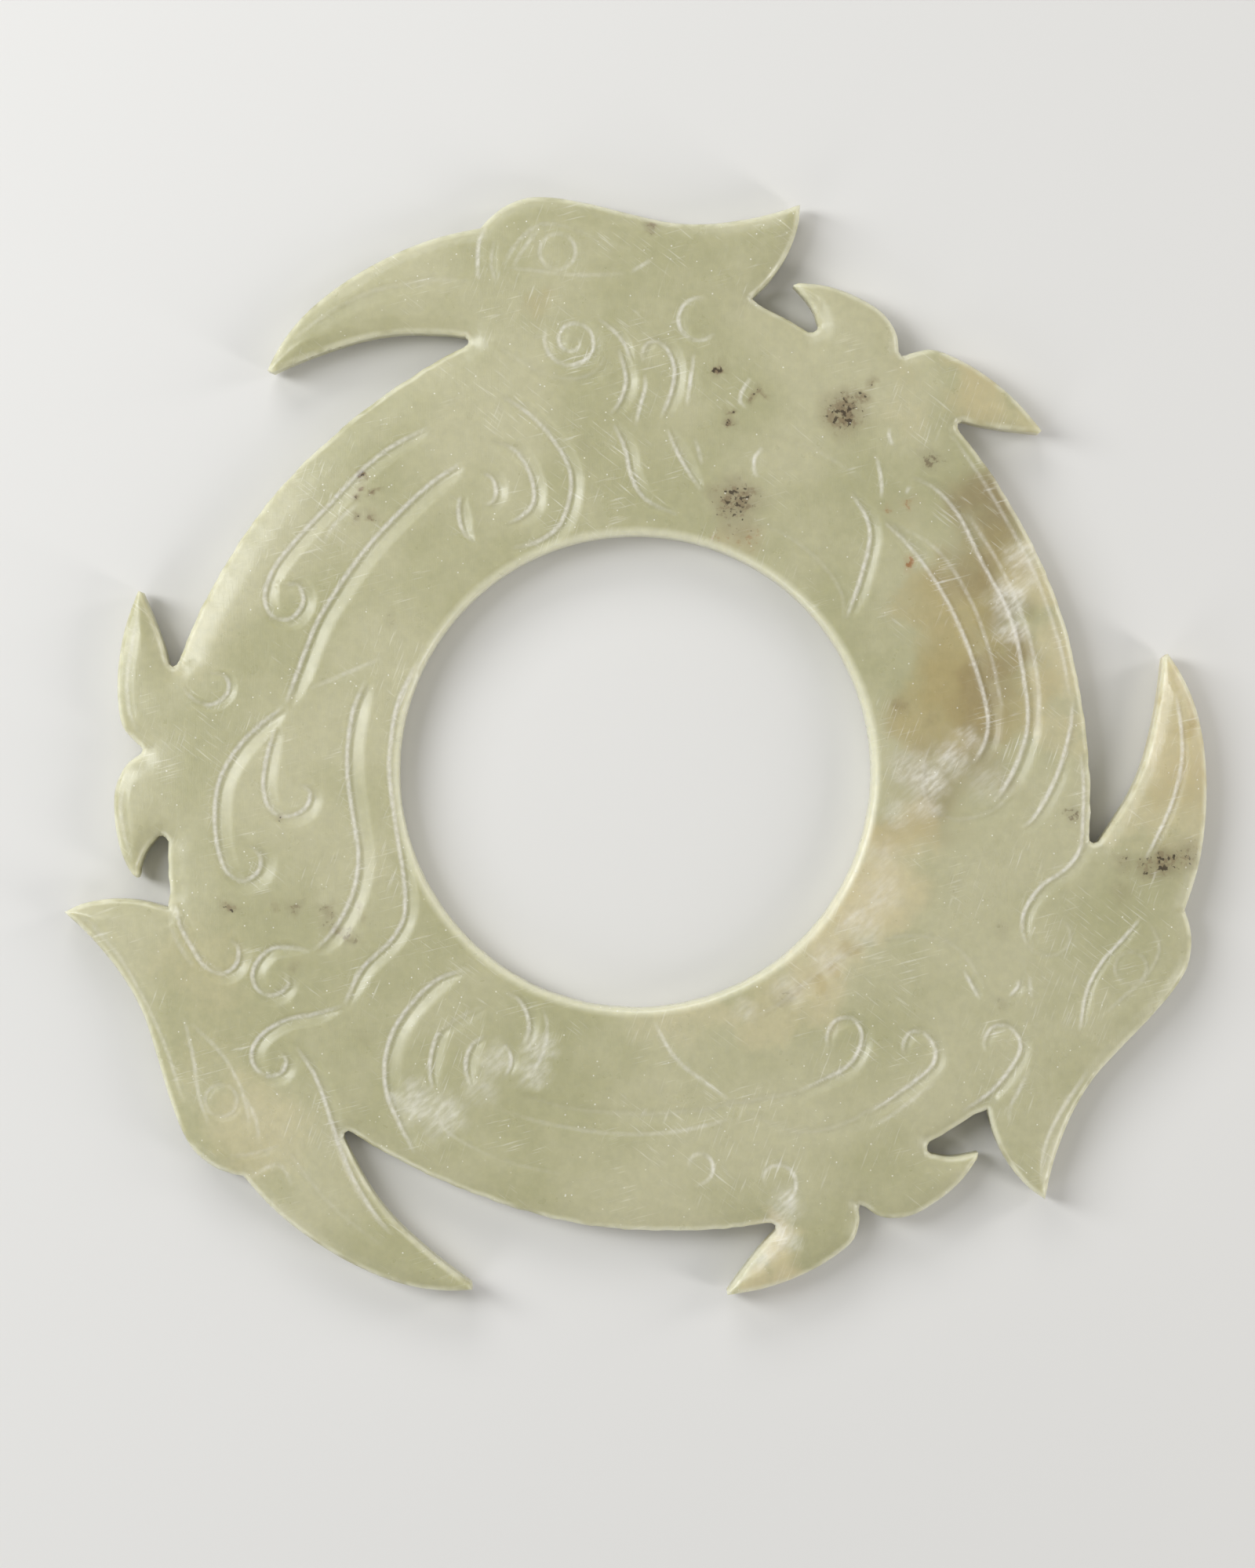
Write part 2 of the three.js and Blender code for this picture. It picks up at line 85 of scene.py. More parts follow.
# How the faces fall away: a small round at the edge, a bevel, and at the rim a slow fall from further in
ROUND_REACH = 0.3
RIM_ROUND_DROP = 0.38
BORE_ROUND_DROP = 0.3
BEVEL_DROP = 0.44
BIRD_BEVEL = 1.6
RING_BEVEL = 2.3
BORE_BEVEL = 1.0
BORE_BULGE = 1.3  # the power that rounds the bore's bevel
FAR_IN = 6.0  # where the slow fall starts, and what stands for any greater distance to the rim
FACE_WAVE = 0.035  # height of the face's slow waves
UNDER_WAVE = 0.02
LONG_WAVE = 9
SHORT_WAVE = 3.2

# How far the edges wander, and over what length
SAW_RIPPLE, SAW_PERIOD = 0.07, 1.1
DRILL_RIPPLE, DRILL_PERIOD = 0.05, 1.3

# Steps of the mesh
SPAN_STEPS = 24  # from one place of a curve to the next, before its points are evened out
RIM_STEP = 0.5
CUT_STEP = 0.32
FACE_GAP = 0.85
UNDER_GAP = 1.0
RIM_GAP = 0.34
ROW_GAP = 0.13
RIM_BELT = 1.5  # how far in from the rim the mesh is fine all over
NARROW_WIDTH = 1  # a line under this width is meshed by fewer rows
CUT_ROWS = np.array([0.3, 0.62, 0.95, 1.25])  # from a cut's floor to its lips and just beyond
FACE_RIM_ROWS = (0.13, 0.3, 0.55, 0.9, 1.4, 2.1, 3, 4)
UNDER_RIM_ROWS = (0.2, 0.5, 0.9, 1.5, 2.6)
BORE_ROWS = (0.12, 0.3, 0.55, 0.9, 1.3)
BAND_ROWS = (0.33, 0.67)  # heights of the rows on the upright bands, as shares

# The three birds: which way each heads, and how far it stands out against the drawing
BIRDS = {"top": (0, 1.0), "right": (120, 1.01), "left": (240, 0.98)}

# One bird's rim, in stretches that meet at corners: each runs on to the first place of the next. A place is
# [bearing, out]: degrees clockwise from the bird's heading, and millimetres out from the ring's edge.
BIRD_RIM = {
    "beakNotch": [[-22, 0.3], [-21.1, 0.6]],
    "beakUnder": [[-21.4, 1.4], [-24.5, 2.8], [-28, 4.4], [-31.5, 5.7], [-35.5, 6.9], [-39.2, 8]],
    "beakTip": [[-42.2, 8.9]],
    "beakTop": [[-42.5, 9.5], [-40, 10.5], [-36.8, 11.4], [-33.5, 11.9], [-29.5, 12.2], [-25, 12.3],
        [-20.8, 12.2]],
    "crown": [[-15.9, 11.7], [-14.7, 12.5], [-13, 13.3], [-10.6, 13.7], [-8.3, 13.3], [-5, 12.3],
        [-0.5, 10.9], [3.8, 10.1], [7.8, 10.4], [11.8, 11.7], [14.4, 13.1]],
    "crestUnder": [[16.2, 14.4], [16.6, 12.1], [16.3, 8.7], [15.3, 5.8]],
    "shelf": [[13.8, 3.4], [15.6, 2.7], [17.9, 2.4], [20.3, 2]],
    "finNotch": [[21.5, 1.8], [22.3, 2.2]],
    "firstFinInner": [[22.3, 2.9], [20.8, 4.4]],
    "firstFinTip": [[18, 6]],
    "firstFinBack": [[18.5, 6.4], [21.5, 7.1], [25, 7.3], [28.3, 7], [30.8, 5.8]],
    "saddle": [[32.1, 4.3], [32.7, 4.1]],
    "secondFinBack": [[33.3, 4.8], [35, 6.4], [37.6, 7.2], [41.2, 7.8], [45.5, 8.1]],
    "secondFinTip": [[50, 8]],
    "secondFinUnder": [[50, 7.6], [48, 5.8], [45.1, 3.7]],
    "lastNotch": [[43, 2.6], [42.8, 1.9]],
    "ringEdge": [[43.8, 1.5], [49.5, 1], [57, 0.4], [66, 0], [75, -0.3], [83.5, -0.4], [91, -0.1]],
}
SAWN = ("beakNotch", "shelf", "finNotch", "lastNotch", "ringEdge")  # stretches whose edge shows the saw
SLOPING = ("ringEdge",)  # stretches whose edge slopes in gently instead of with a crisp facet

# Small chips in the rim: x, y and radius in millimetres from the middle of the bore, and depth
CHIPS = [(24.2, -46.8, 0.75, 0.7), (-18.6, 46, 0.6, 0.25), (46.9, -46.4, 0.7, 0.2), (-53.2, -11, 0.6, 0.2)]

# The carved lines, each along the steep lip of its cut. They were cut freehand, so the birds differ.
TOP_LINES = {
    "cere": [FINE, [-15.3, 11.6], [-16.4, 10.3], [-17, 8.8], [-17.8, 6.3]],
    "cereBack": [FAINT, [-14.7, 10.1], [-15.7, 8.1], [-16, 5.3]],
    "mouth": [SOFT, [-18.2, 6.4], [-21.7, 7.8], [-25, 8.8], [-29.1, 9.8], [-33.4, 10.2], [-38.5, 10.2]],
    "upperLid": [FAINT, [-14.6, 7.4], [-13, 8.8], [-10.4, 10.4], [-9.2, 10.5], [-7.1, 9.8], [-2.6, 7.6],
        [-0.4, 7.1]],
    "lowerLid": [FAINT, [-15.2, 7], [-13.2, 6.4], [-6.3, 4.6], [-0.9, 4.5]],
    "lidFront": [HAIR, [-10.4, 10.7], [-12.6, 9.1], [-14.7, 7]],
    "lidFrontInner": [HAIR, [-9.9, 10.3], [-12.2, 8.2], [-13.9, 6.5]],
    "lidRear": [HAIR, [2.1, 6.1], [-0.7, 4.5]],
    "jaw": [SOFT, [-18.4, -0.5], [-16, -2.9], [-13.7, -4.6], [-11, -5.8], [-7.9, -6.2], [-5.3, -5.4],
        [-4, -4.1]],
    "cheekBand": [THIN, [-5, 0], [-3, -1.4], [-1.5, -3], [-0.4, -5.3]],
    "neckFront": [FULL, [-2.3, -3.5], [-1.5, -6], [-1.4, -7], [-2.4, -9], [-4.1, -10.5]],
    "neckFrontLow": [FULL, [-3.7, -11.3], [-1.9, -14.1], [-0.8, -17.1], [1.9, -19.4], [9.6, -20.9]],
    "neckBack": [FULL, [1.1, -5], [0.9, -4], [1.6, -2.9], [2.8, -2.7], [4.2, -3.4], [5.2, -4.7], [5.6, -6],
        [5.3, -8.2], [4, -10.9]],
    "neckBackLow": [FULL, [5.2, -11.8], [7.2, -14], [9.5, -15.8], [13.4, -17.9]],
    "neckHairs": [FINE, [1.3, -6.2], [1.5, -7.4], [0.5, -10.2], [0, -11.8]],
    "napeHairs": [FINE, [8, -3.6], [8, -5.5], [8, -9.4]],
    "napeHairsLow": [HAIR, [10.1, -12.4], [11.2, -13.8], [12.4, -15.2]],
    "napeCurl": [FINE, [16.3, -4.8], [15.6, -6.9], [15.9, -7.7], [17.1, -8.1]],
    "shoulderCurl": [FINE, [21.5, -11.4], [20.8, -12.8], [21.7, -14.2], [22.8, -14.7]],
    "wingInnerTop": [SOFT, [24.3, -9.6], [30.4, -9.3], [35.6, -9.3], [38.1, -9.3]],
    "wingInner": [FULL, [37.5, -11], [42.3, -12], [44.9, -13.2], [49.1, -16.8], [54.1, -20.9]],
    "boreLine": [SOFT, [25.2, -18.9], [33.5, -18.7], [41.4, -18.8], [49.3, -19.6], [54.5, -21.3]],
    "finTick": [FINE, [37.2, -6.2], [40.3, -8.1], [42.1, -9.5]],
    "finTickSmall": [FINE, [36.4, -3], [37.1, -3.8], [38.3, -4.4]],
    "wingOuterCurl": [HAIR, [43.7, -6.3], [44.3, -7.4]],
    "wingOuter": [BOLD, [42.8, -5.6], [46.5, -4.7], [51.1, -4.6], [58.5, -5.4], [67.8, -5.4], [75.9, -6],
        [83, -6.5], [87.5, -7.6], [91.9, -9.1], [94.8, -10.4]],
    "wingMiddle": [BOLD, [44.5, -11], [50.3, -10.8], [59.7, -10.7], [70.8, -10.7], [81.3, -10.6],
        [85, -11.2], [88.8, -12.7]],
    "wingEdge": [FULL, [80.6, -1.3], [84.5, -2.1], [90.7, -3.8], [96.5, -5.9], [98.4, -7.1]],
    "volute": [SOFT, [83.5, -16.1], [86.6, -17.6], [90.9, -18], [95.5, -17.4], [98.2, -15.7], [97.7, -12.3],
        [95.2, -9.6], [91.4, -7.8]],
    "ringFacet": [HAIR, [43.5, 0.6], [50.2, -0.3], [57.2, -0.9], [63.8, -1.1], [73.9, -1.4], [80.5, -1.6]],
    "wingMiddleHair": [HAIR, [46.3, -10.3], [53.8, -8.7], [63.1, -8.5], [72.7, -8.8], [81.3, -8.9]],
    "wingOuterHair": [HAIR, [51.9, -3.8], [60.7, -4], [69.6, -4.2], [78, -4.7], [84.9, -5.6]],
}
RIGHT_LINES = {
    "neckEdge": [FULL, [-32.7, -1.1], [-28.4, -0.8], [-23.6, -0.6], [-20.4, -0.5], [-17.7, -1.4],
        [-14, -3.8], [-10.2, -4.6], [-7.8, -4.1], [-6.1, -3]],
    "upperLid": [THIN, [-14.1, 7.5], [-11.2, 6.3], [-7.7, 5], [-4.2, 4.8], [0.4, 6.2]],
    "lowerLid": [TRACE, [-14.1, 8], [-11.5, 10.2], [-8, 9.9], [-5.2, 8.6], [-1.8, 7.3]],
    "ear": [THIN, [-1.6, -2.3], [-0.8, -1.9], [1.1, -2.2]],
    "earBack": [HAIR, [-2.7, -1.4], [-1.4, -0.7], [-0.2, 0]],
    "mouth": [THIN, [-20, 6.4], [-23.1, 7.4], [-27, 8.7], [-31.2, 9.6], [-34.7, 9.7], [-38.4, 9.5]],
    "crestFacet": [FAINT, [3.4, 9.2], [9, 9.4], [12.4, 10.4], [14.5, 11.9]],
    "shoulderTick": [THIN, [1.1, -7.8], [3, -5.3], [3.5, -4.5]],
    "shoulderArch": [SOFT, [34.5, -19.5], [26.4, -19.5], [17.7, -19.7], [10.4, -18.9], [4, -17.3]],
    "shoulderArchEnd": [SOFT, [5, -17.2], [0.8, -14.5], [-1.2, -11.4], [-1.1, -8.9], [0.5, -6.5], [2, -4.5]],
    "boreFacet": [HAIR, [9.5, -21.5], [1.8, -20.4], [-2.2, -18.8]],
    "firstHook": [FULL, [25.2, -12.6], [24, -13.9], [21.5, -14.6], [19, -13.9], [18.7, -12.4], [20.1, -11.1],
        [23.8, -10], [29.4, -10.2], [33, -10.4]],
    "firstHookTail": [SOFT, [28, -10], [33, -10.4], [38.4, -11.2], [44, -11.8], [50.8, -12.1]],
    "secondHook": [FULL, [16.7, -6.9], [15.6, -7.9], [13.5, -8.3], [12.2, -7.1], [12.8, -5.1], [14.4, -4.2],
        [17.5, -4.2], [22.5, -4.5], [26, -4.7]],
    "secondHookTail": [SOFT, [21, -4.4], [28.5, -5], [33.9, -5.9], [37, -7.2], [39.8, -9.1], [43.6, -11.6]],
    "thirdHook": [FULL, [8.7, -0.8], [7.8, -1.7], [5.7, -1.9], [4.4, -0.7], [4.7, 1], [5.8, 1.9], [8.4, 2.3],
        [12, 2.3], [16.2, 1.6]],
    "thirdHookHairs": [HAIR, [6.7, 3.9], [9.8, 4.5], [12.1, 5.1], [13.5, 6.4]],
    "secondHookHairs": [HAIR, [15.7, -2.6], [23.3, -3], [27, -3.2]],
    "wingInner": [FINE, [56, -22.1], [51.9, -17.7], [47.2, -14.6], [43.4, -11.7]],
    "finRidge": [FAINT, [40.5, 1.6], [41.4, 3.3], [45.3, 5.8]],
    "wingOuter": [SOFT, [42.9, -11.7], [50.8, -12], [61.3, -12.2], [71.8, -12.1], [80.6, -12.1]],
    "wingOuterHairs": [HAIR, [44.1, -10.3], [51.3, -10.1], [57.5, -10], [64.7, -10], [74.4, -10],
        [83.4, -9.7]],
    "wingLast": [FAINT, [69.9, -5], [78.5, -4.9], [84.7, -5.1], [88.1, -5.5], [90.8, -6.9]],
    "voluteOuter": [BOLD, [100.9, -20.7], [103.7, -17.9], [104, -14], [103, -10.6], [101, -7.9],
        [97.9, -5.4], [94, -3.5], [89.9, -1.6]],
    "voluteMiddle": [FULL, [96.2, -15.6], [97, -13.9], [96.2, -11.9], [94.5, -9.9], [92.3, -8.3]],
    "voluteMiddleTop": [SOFT, [92.5, -19.2], [94.9, -17.2], [96.2, -15.6], [97, -13.9]],
    "voluteInner": [FULL, [89.7, -16.2], [90.9, -14.9], [90.7, -13.4], [89.5, -11.9], [87.6, -10.7]],
    "voluteCore": [THIN, [86, -16.4], [84.1, -15.8], [83.1, -14.7], [83.2, -13.3]],
    "voluteRight": [FULL, [91.4, -21.3], [86.6, -21.2], [83.4, -19.8], [82.3, -18.4], [82.5, -17.1]],
    "voluteHairs": [HAIR, [81.5, -21.6], [79.3, -20.1], [78.3, -17.8], [78.7, -15.2], [80.3, -13.5]],
}
LEFT_LINES = {
    "napeScroll": [FULL, [-8.7, -8.8], [-7, -5.7], [-5.3, -2.8], [-5.1, 0], [-6, 1.9], [-7.6, 2.7],
        [-9.5, 2.3], [-10.3, 0.7], [-9.4, -0.4], [-7.8, -0.2]],
    "faceLine": [FULL, [-8.9, -2.1], [-13.3, -1.6], [-17.3, -0.1], [-20.8, 1.8], [-25.5, 4.3], [-30.2, 6.4],
        [-32.4, 7.1]],
    "upperLid": [HAIR, [1.5, 6.1], [-3, 7.5], [-6.7, 9.3], [-9.8, 10.4]],
    "lowerLid": [HAIR, [0.7, 5.8], [-4.4, 4.7], [-8.5, 5.2], [-11.4, 6.4], [-12.8, 7.5]],
    "lidHairs": [HAIR, [-7.7, 5.2], [-12.5, 6.2], [-14.8, 7.8]],
    "cere": [FAINT, [-13.3, 11], [-15, 8.8], [-16.5, 6.2]],
    "cereBack": [HAIR, [-16.5, 11.2], [-16.9, 9.4], [-17.7, 7.9], [-19, 8], [-20.4, 8.8]],
    "mouth": [SOFT, [-16.9, 6], [-19.4, 6.6], [-22.7, 7.3], [-26.5, 8], [-32, 8.6]],
    "crestFacet": [FAINT, [15.8, 12.6], [10.9, 10], [5.2, 9.1], [-0.4, 9.4], [-6.4, 11.1]],
    "crestHook": [FAINT, [11.8, 3.6], [10, 3.5], [8.1, 3.2], [6.1, 2.8]],
    "crestCurl": [FULL, [14.1, 2.4], [11.4, 2.6], [8.4, 2.2], [5.6, 1.7], [4, 0.4], [4.3, -1.4], [6.2, -2.3],
        [7.8, -1.7]],
    "cheekScroll": [FULL, [1, -9.3], [3, -7.4], [4.1, -5.4], [3.2, -3.3], [1.8, -2.3], [-0.3, -2.2],
        [-1.7, -3.4], [-1.5, -5.2], [0.1, -5.6]],
    "neckLine": [BOLD, [48.9, -18.2], [42.5, -17.8], [35.1, -17.8], [29.1, -17.9], [21.2, -18.1],
        [12.4, -17.6], [6.3, -15.5], [2.1, -11.9], [1, -9.3]],
    "boreLine": [FULL, [57.1, -22.5], [46, -22.2], [36, -22.3], [30.7, -22.3], [18.8, -22.4], [3.6, -21.1],
        [-2.1, -19.4], [-4.5, -17], [-5.8, -12.6], [-8.7, -8.8]],
    "wingInner": [BOLD, [90.9, -10.8], [84.9, -10.9], [77.9, -11.2], [69.8, -11.3], [62.1, -11.3],
        [55.3, -11.1], [49, -11.1], [40.7, -10.6]],
    "wingHook": [BOLD, [40.7, -10.6], [36.4, -7.8], [32.6, -5.7], [28.6, -4.2], [23.7, -3.5], [18.8, -3.4],
        [15.9, -3.9], [14.5, -5.2], [15.2, -7], [17.3, -7.6], [19.3, -6.6]],
    "wingOuter": [FULL, [89.1, -5.8], [83.2, -5.3], [77.8, -5.2], [71.3, -5.3], [64.5, -4.8], [58.6, -4.4],
        [54.8, -5.1], [53.2, -6.6], [54, -8.4], [57.2, -8.8], [58.9, -7.4], [57.9, -5.9]],
    "wingHairs": [HAIR, [74.5, -7.5], [69, -7.1], [66, -7.6]],
    "finHook": [FULL, [37.6, -10], [32.5, -9.3], [27.2, -8.9], [23.9, -9.6], [22.7, -11.2], [23.9, -13.3],
        [26.4, -13.8], [28.3, -12.4]],
    "finFacet": [FAINT, [48.3, 7], [44.3, 6.7], [40.1, 6.4], [36.6, 5.6], [34.4, 4.5]],
    "firstFinFacet": [FAINT, [28.9, 5.8], [26.2, 6.4], [22.2, 6.2], [19.8, 5.7]],
    "finCurl": [THIN, [40.8, 0.5], [39.5, -0.6], [38.9, -2.3], [39.7, -3.7], [41.5, -4.4], [43.1, -3.7],
        [43.1, -1.9]],
    "wingDots": [HAIR, [44.1, -12.6], [48.8, -16], [54.5, -19.1]],
    "voluteOuter": [FULL, [100.2, -5.9], [103.5, -8.9], [106.2, -12.3], [107.7, -15.8], [106.5, -18.5],
        [102.7, -21.1], [97.1, -21.9], [90.7, -21.3]],
    "voluteMiddle": [FULL, [96.3, -9.9], [99.5, -12.1], [100.5, -15.5], [99, -18], [95.4, -18.8],
        [92.5, -18.7]],
    "voluteInner": [FULL, [92.6, -12.4], [93.9, -13.8], [93.7, -15], [92.5, -15.9], [90.5, -16]],
    "voluteLeft": [FULL, [87.7, -13.7], [85.9, -14.9], [84.4, -17.1], [85, -18.7]],
}
LINES = {"top": TOP_LINES, "right": RIGHT_LINES, "left": LEFT_LINES}

# Scrolls and eyes: middle, first and last radius, the direction that the line starts in and how far it turns
SCROLLS = {
    "top": {
        "eye": [HAIR, [-8.5, 7.4], 1.9, 1.9, 0, 360],
        "cheekScroll": [CURL, [-8.3, -2.2], 0.5, 3.1, 40, 620],
        "backScroll": [CURL, [8.1, 0], 2.4, 2.1, 20, -250],
    },
    "right": {
        "eye": [TRACE, [-8.4, 8.1], 1.7, 1.7, 0, 360],
        "cheekScroll": [TRACE, [-8.9, -1.1], 3, 1.4, 270, -270],
        "firstCurl": [CURL, [51, -6.1], 0.8, 2, -120, 310],
        "secondCurl": [CURL, [41.1, -2.5], 1, 2.6, -130, 300],
    },
    "left": {
        "eye": [FAINT, [-8.4, 7.7], 1.7, 1.7, 0, 360],
    },
}

# The underside's few lines, the same for all three birds
UNDERSIDE = {
    "cere": [THIN, [-15.8, 11.2], [-17, 9], [-17.6, 6.2]],
    "mouth": [FULL, [-18.2, 6.4], [-25, 8.2], [-32, 9], [-38.5, 9.3]],
    "wing": [FULL, [92, -10], [75, -10.6], [56, -10.6], [41, -10.4], [32, -7], [24, -5], [17, -5.4],
        [15.5, -7.5], [19, -8.5]],
    "wingOuter": [FULL, [86, -4.6], [72, -5], [59, -4.6], [55, -6.6], [57.5, -8.3]],
}
UNDERSIDE_EYE = [THIN, [-8.5, 7.4], 1.9, 1.9, 0, 360]


# Where the stone is stained or altered, or, for three of the cream patches, painted with sheen: x, y and
# radius in millimetres from the middle of the bore, and how strongly
SMOKE_PATCHES = [(38, 28.5, 4.4, 0.7), (36, 22, 3.6, 0.5), (39, 17, 3, 0.45), (38.5, 11, 3.2, 0.5),
    (37, 5, 4, 0.45), (35, 0.5, 4, 0.4), (31.5, -3, 4, 0.4), (28.5, 27, 2.5, 0.15), (40, 28.7, 2.4, 0.3)]
OCHRE_PATCHES = [(33.5, 17, 5, 0.6), (34.5, 10, 6, 0.7), (32, 5, 4.5, 0.55), (38, 22, 4, 0.5),
    (40.5, 6, 4, 0.45), (27.5, -6, 4, 0.35), (59.3, 5.3, 1.4, 0.6), (36.5, 41, 3.5, 0.25),
    (29, 43, 2.5, 0.2), (38.3, 41.6, 1.2, 0.5), (43, 7, 3.5, 0.4), (58, -1, 4.5, 0.3),
    (15, -23.7, 1.2, 0.35), (18, -22.4, 1.4, 0.4), (21, -20.8, 1.4, 0.4), (24, -19.2, 1.3, 0.35),
    (-9.4, 50.3, 1.6, 0.3), (38, -37, 3, 0.1)]
# Three of these, at (-47.5, -20.5), (-41, -38) and (-46, -29), are painted sheen on the lower-left bird's
# head where light falls; the rest are cream stains
CREAM_AND_SHEEN_PATCHES = [(57, 10, 4.5, 0.8), (37, 41.5, 4, 0.6), (43.6, 25, 2.2, 0.6), (45.2, 19.5, 2, 0.6),
    (26.5, -8, 4.5, 0.65), (25, -13, 5, 0.8), (21, -18.5, 4.5, 0.65), (14, -25.5, 4, 0.4),
    (43, 20, 3.5, 0.6), (45.3, 12, 4, 0.5), (46, 4, 3, 0.35), (57.5, 3, 6, 0.8), (56, -4, 5, 0.5),
    (60.5, -3, 5, 0.5), (5, -26, 4, 0.3), (28, 38, 3, 0.25), (42, 37, 4, 0.4), (-47, 13, 5, 0.2),
    (18, -22, 4, 0.6), (9, -25.6, 2.6, 0.35), (14.8, -49.5, 2.6, 0.75), (12.3, -53, 1.8, 0.7),
    (15.8, -52.6, 2.4, 0.8), (-47.5, -20.5, 6, 0.28), (-41, -38, 6, 0.36), (-46, -29, 5, 0.2),
    (35.5, 40.5, 3, 0.4)]
CHALK_PATCHES = [(41.2, 23, 1.7, 0.75), (39.7, 18.5, 1.8, 1), (40, 15.2, 1.4, 0.9), (41.5, 20.5, 1.2, 0.5),
    (31.2, -1, 1.7, 0.9), (33.4, 1.4, 1.5, 0.8), (35.5, 3.6, 1.2, 0.6), (29, 0.3, 1.8, 0.6),
    (37.5, -1.2, 1.8, 0.35), (31, -3.5, 1.4, 0.6), (-23.5, -35, 2, 0.75), (-20.5, -36.4, 2.2, 0.65),
    (-25.4, -34.8, 1, 0.5), (-14.8, -30.6, 1.5, 0.55), (-10.3, -29.4, 1.5, 0.7), (-10.8, -32, 1.5, 0.6),
    (15.8, -46, 1.4, 0.9), (14.8, -48.6, 1.3, 0.8), (16.4, -49.8, 1, 0.5), (13.6, -51.6, 1.1, 0.6),
    (-16.5, -33.8, 1.6, 0.4), (26.4, -9, 1.5, 0.4), (26.3, -13, 1.8, 0.5), (24, -16.4, 1.8, 0.5),
    (20.6, -19.8, 1.6, 0.5), (16.4, -23, 1.5, 0.45), (11.6, -25.4, 1.2, 0.4), (28, -4.4, 1.4, 0.5)]
SOOT_SPECKS = [(22.1, 38, 2.1, 1), (24, 39.8, 1, 0.8), (25.2, 41.4, 0.7, 0.7), (1.7, 57.9, 0.8, 0.7),
    (10.6, 28.8, 2.2, 0.9), (8.6, 29.6, 1.2, 0.6), (12.3, 29.6, 1, 0.7), (11.2, 26.2, 1.6, 0.45),
    (56.3, -9.5, 1.6, 0.9), (58.6, -9, 1.4, 0.7), (54.4, -10, 1.2, 0.7), (51.7, -9.6, 1, 0.6),
    (51.6, -12.5, 1, 0.35), (8.8, 42.7, 0.4, 1.35), (10, 36.6, 0.35, 1.08), (10.4, 38.3, 0.35, 0.94),
    (12.7, 39.5, 0.5, 0.81), (13.3, 40.3, 0.4, 0.81), (-29.2, 31.4, 0.5, 1.35), (-29.2, 30.2, 0.35, 1.22),
    (-29.4, 29.1, 0.5, 1.08), (-28.1, 29.7, 0.4, 1.08), (-29.6, 27.2, 0.5, 0.81), (-28.3, 26.8, 0.4, 0.81),
    (-37.9, -5.1, 0.35, 0.7), (28.2, 7, 0.9, 0.55), (31.4, 5.4, 0.8, 0.4), (-43.1, -14.3, 0.6, 0.81),
    (-38.3, -14.5, 0.5, 0.5), (-36.1, -14.9, 0.6, 0.4), (-32.3, -14.7, 0.6, 0.6), (-29.4, -14.4, 0.5, 0.6),
    (-31.6, -17.1, 0.6, 0.7), (-30.2, -17.9, 0.5, 0.5), (-36.2, -20.6, 0.6, 0.5), (-28.7, -15.7, 0.4, 0.5)]
ASH_PATCHES = [(31.4, 32.8, 1.2, 0.75), (30.8, 33.9, 0.8, 0.6), (46.4, -4.5, 0.9, 0.75),
    (39, -24.7, 0.8, 0.4), (39, -16.9, 1, 0.35), (33.8, -12.2, 1, 0.25), (15.8, -24.3, 1, 0.4),
    (1.7, 57.9, 0.8, 0.5), (-30.2, -17.4, 0.9, 0.65), (-32.6, -15.8, 1.1, 0.55), (-33, -14.5, 0.6, 0.5),
    (-36.4, -14.7, 1, 0.5), (-26.1, 15.9, 0.8, 0.3), (-5.4, 34.8, 0.7, 0.25), (-28.8, -28, 0.9, 0.3),
    (10.6, 28, 3, 0.35), (57, -9.5, 3, 0.25), (22.5, 38.4, 2.4, 0.3)]
RUST_PATCHES = [(28.8, 28.7, 0.5, 0.8), (29.1, 27.9, 0.4, 0.6), (28.9, 22.2, 0.55, 0.8),
    (26.6, 27.6, 0.3, 0.6), (9.4, 24.9, 1.3, 0.4), (12, 24.6, 1.5, 0.45), (-18.2, 46.3, 0.5, 0.5)]
STAINS = {"cream_and_sheen": (CREAM_AND_SHEEN_PATCHES, 0.6), "ochre": (OCHRE_PATCHES, 0.6), "smoke": (SMOKE_PATCHES, 0.85),
          "ash": (ASH_PATCHES, 0.5), "chalk": (CHALK_PATCHES, 0.7), "rust": (RUST_PATCHES, 0.5),
          "soot": (SOOT_SPECKS, 0.7)}  # each with how softly its patches end
WIDE_STAINS = ("cream_and_sheen", "ochre", "smoke")
SPECK_RADIUS = 1.3  # patches up to this size get a fine mesh
SPECK_GAP = 0.24


# Curves


def lengths(vectors):
    """The length of each vector."""
    return np.linalg.norm(vectors, axis=1)


def travel(path):
    """How far along the path each of its points is."""
    return np.concatenate([[0], np.cumsum(lengths(np.diff(path, axis=0)))])


def polar(radius, angle):
    """Points at each radius, and at each angle in radians clockwise from +Y."""
    return np.stack([radius * np.sin(angle), radius * np.cos(angle)], axis=1)


def place(places, heading):
    """Bearings and distances out from the ring's edge, as points measured from the middle of the bore."""
    bearing, out = np.asarray(places, float).T
    angle = np.radians(heading + bearing)
    radius = RING_RADIUS + out
    return polar(radius, angle)


def evenly(points, step):
    """The same path with points a step apart, both ends kept."""
    travelled = travel(points)
    count = max(1, round(travelled[-1] / step))
    stops = np.linspace(0, travelled[-1], count + 1)
    return np.stack([np.interp(stops, travelled, column) for column in points.T], axis=1)


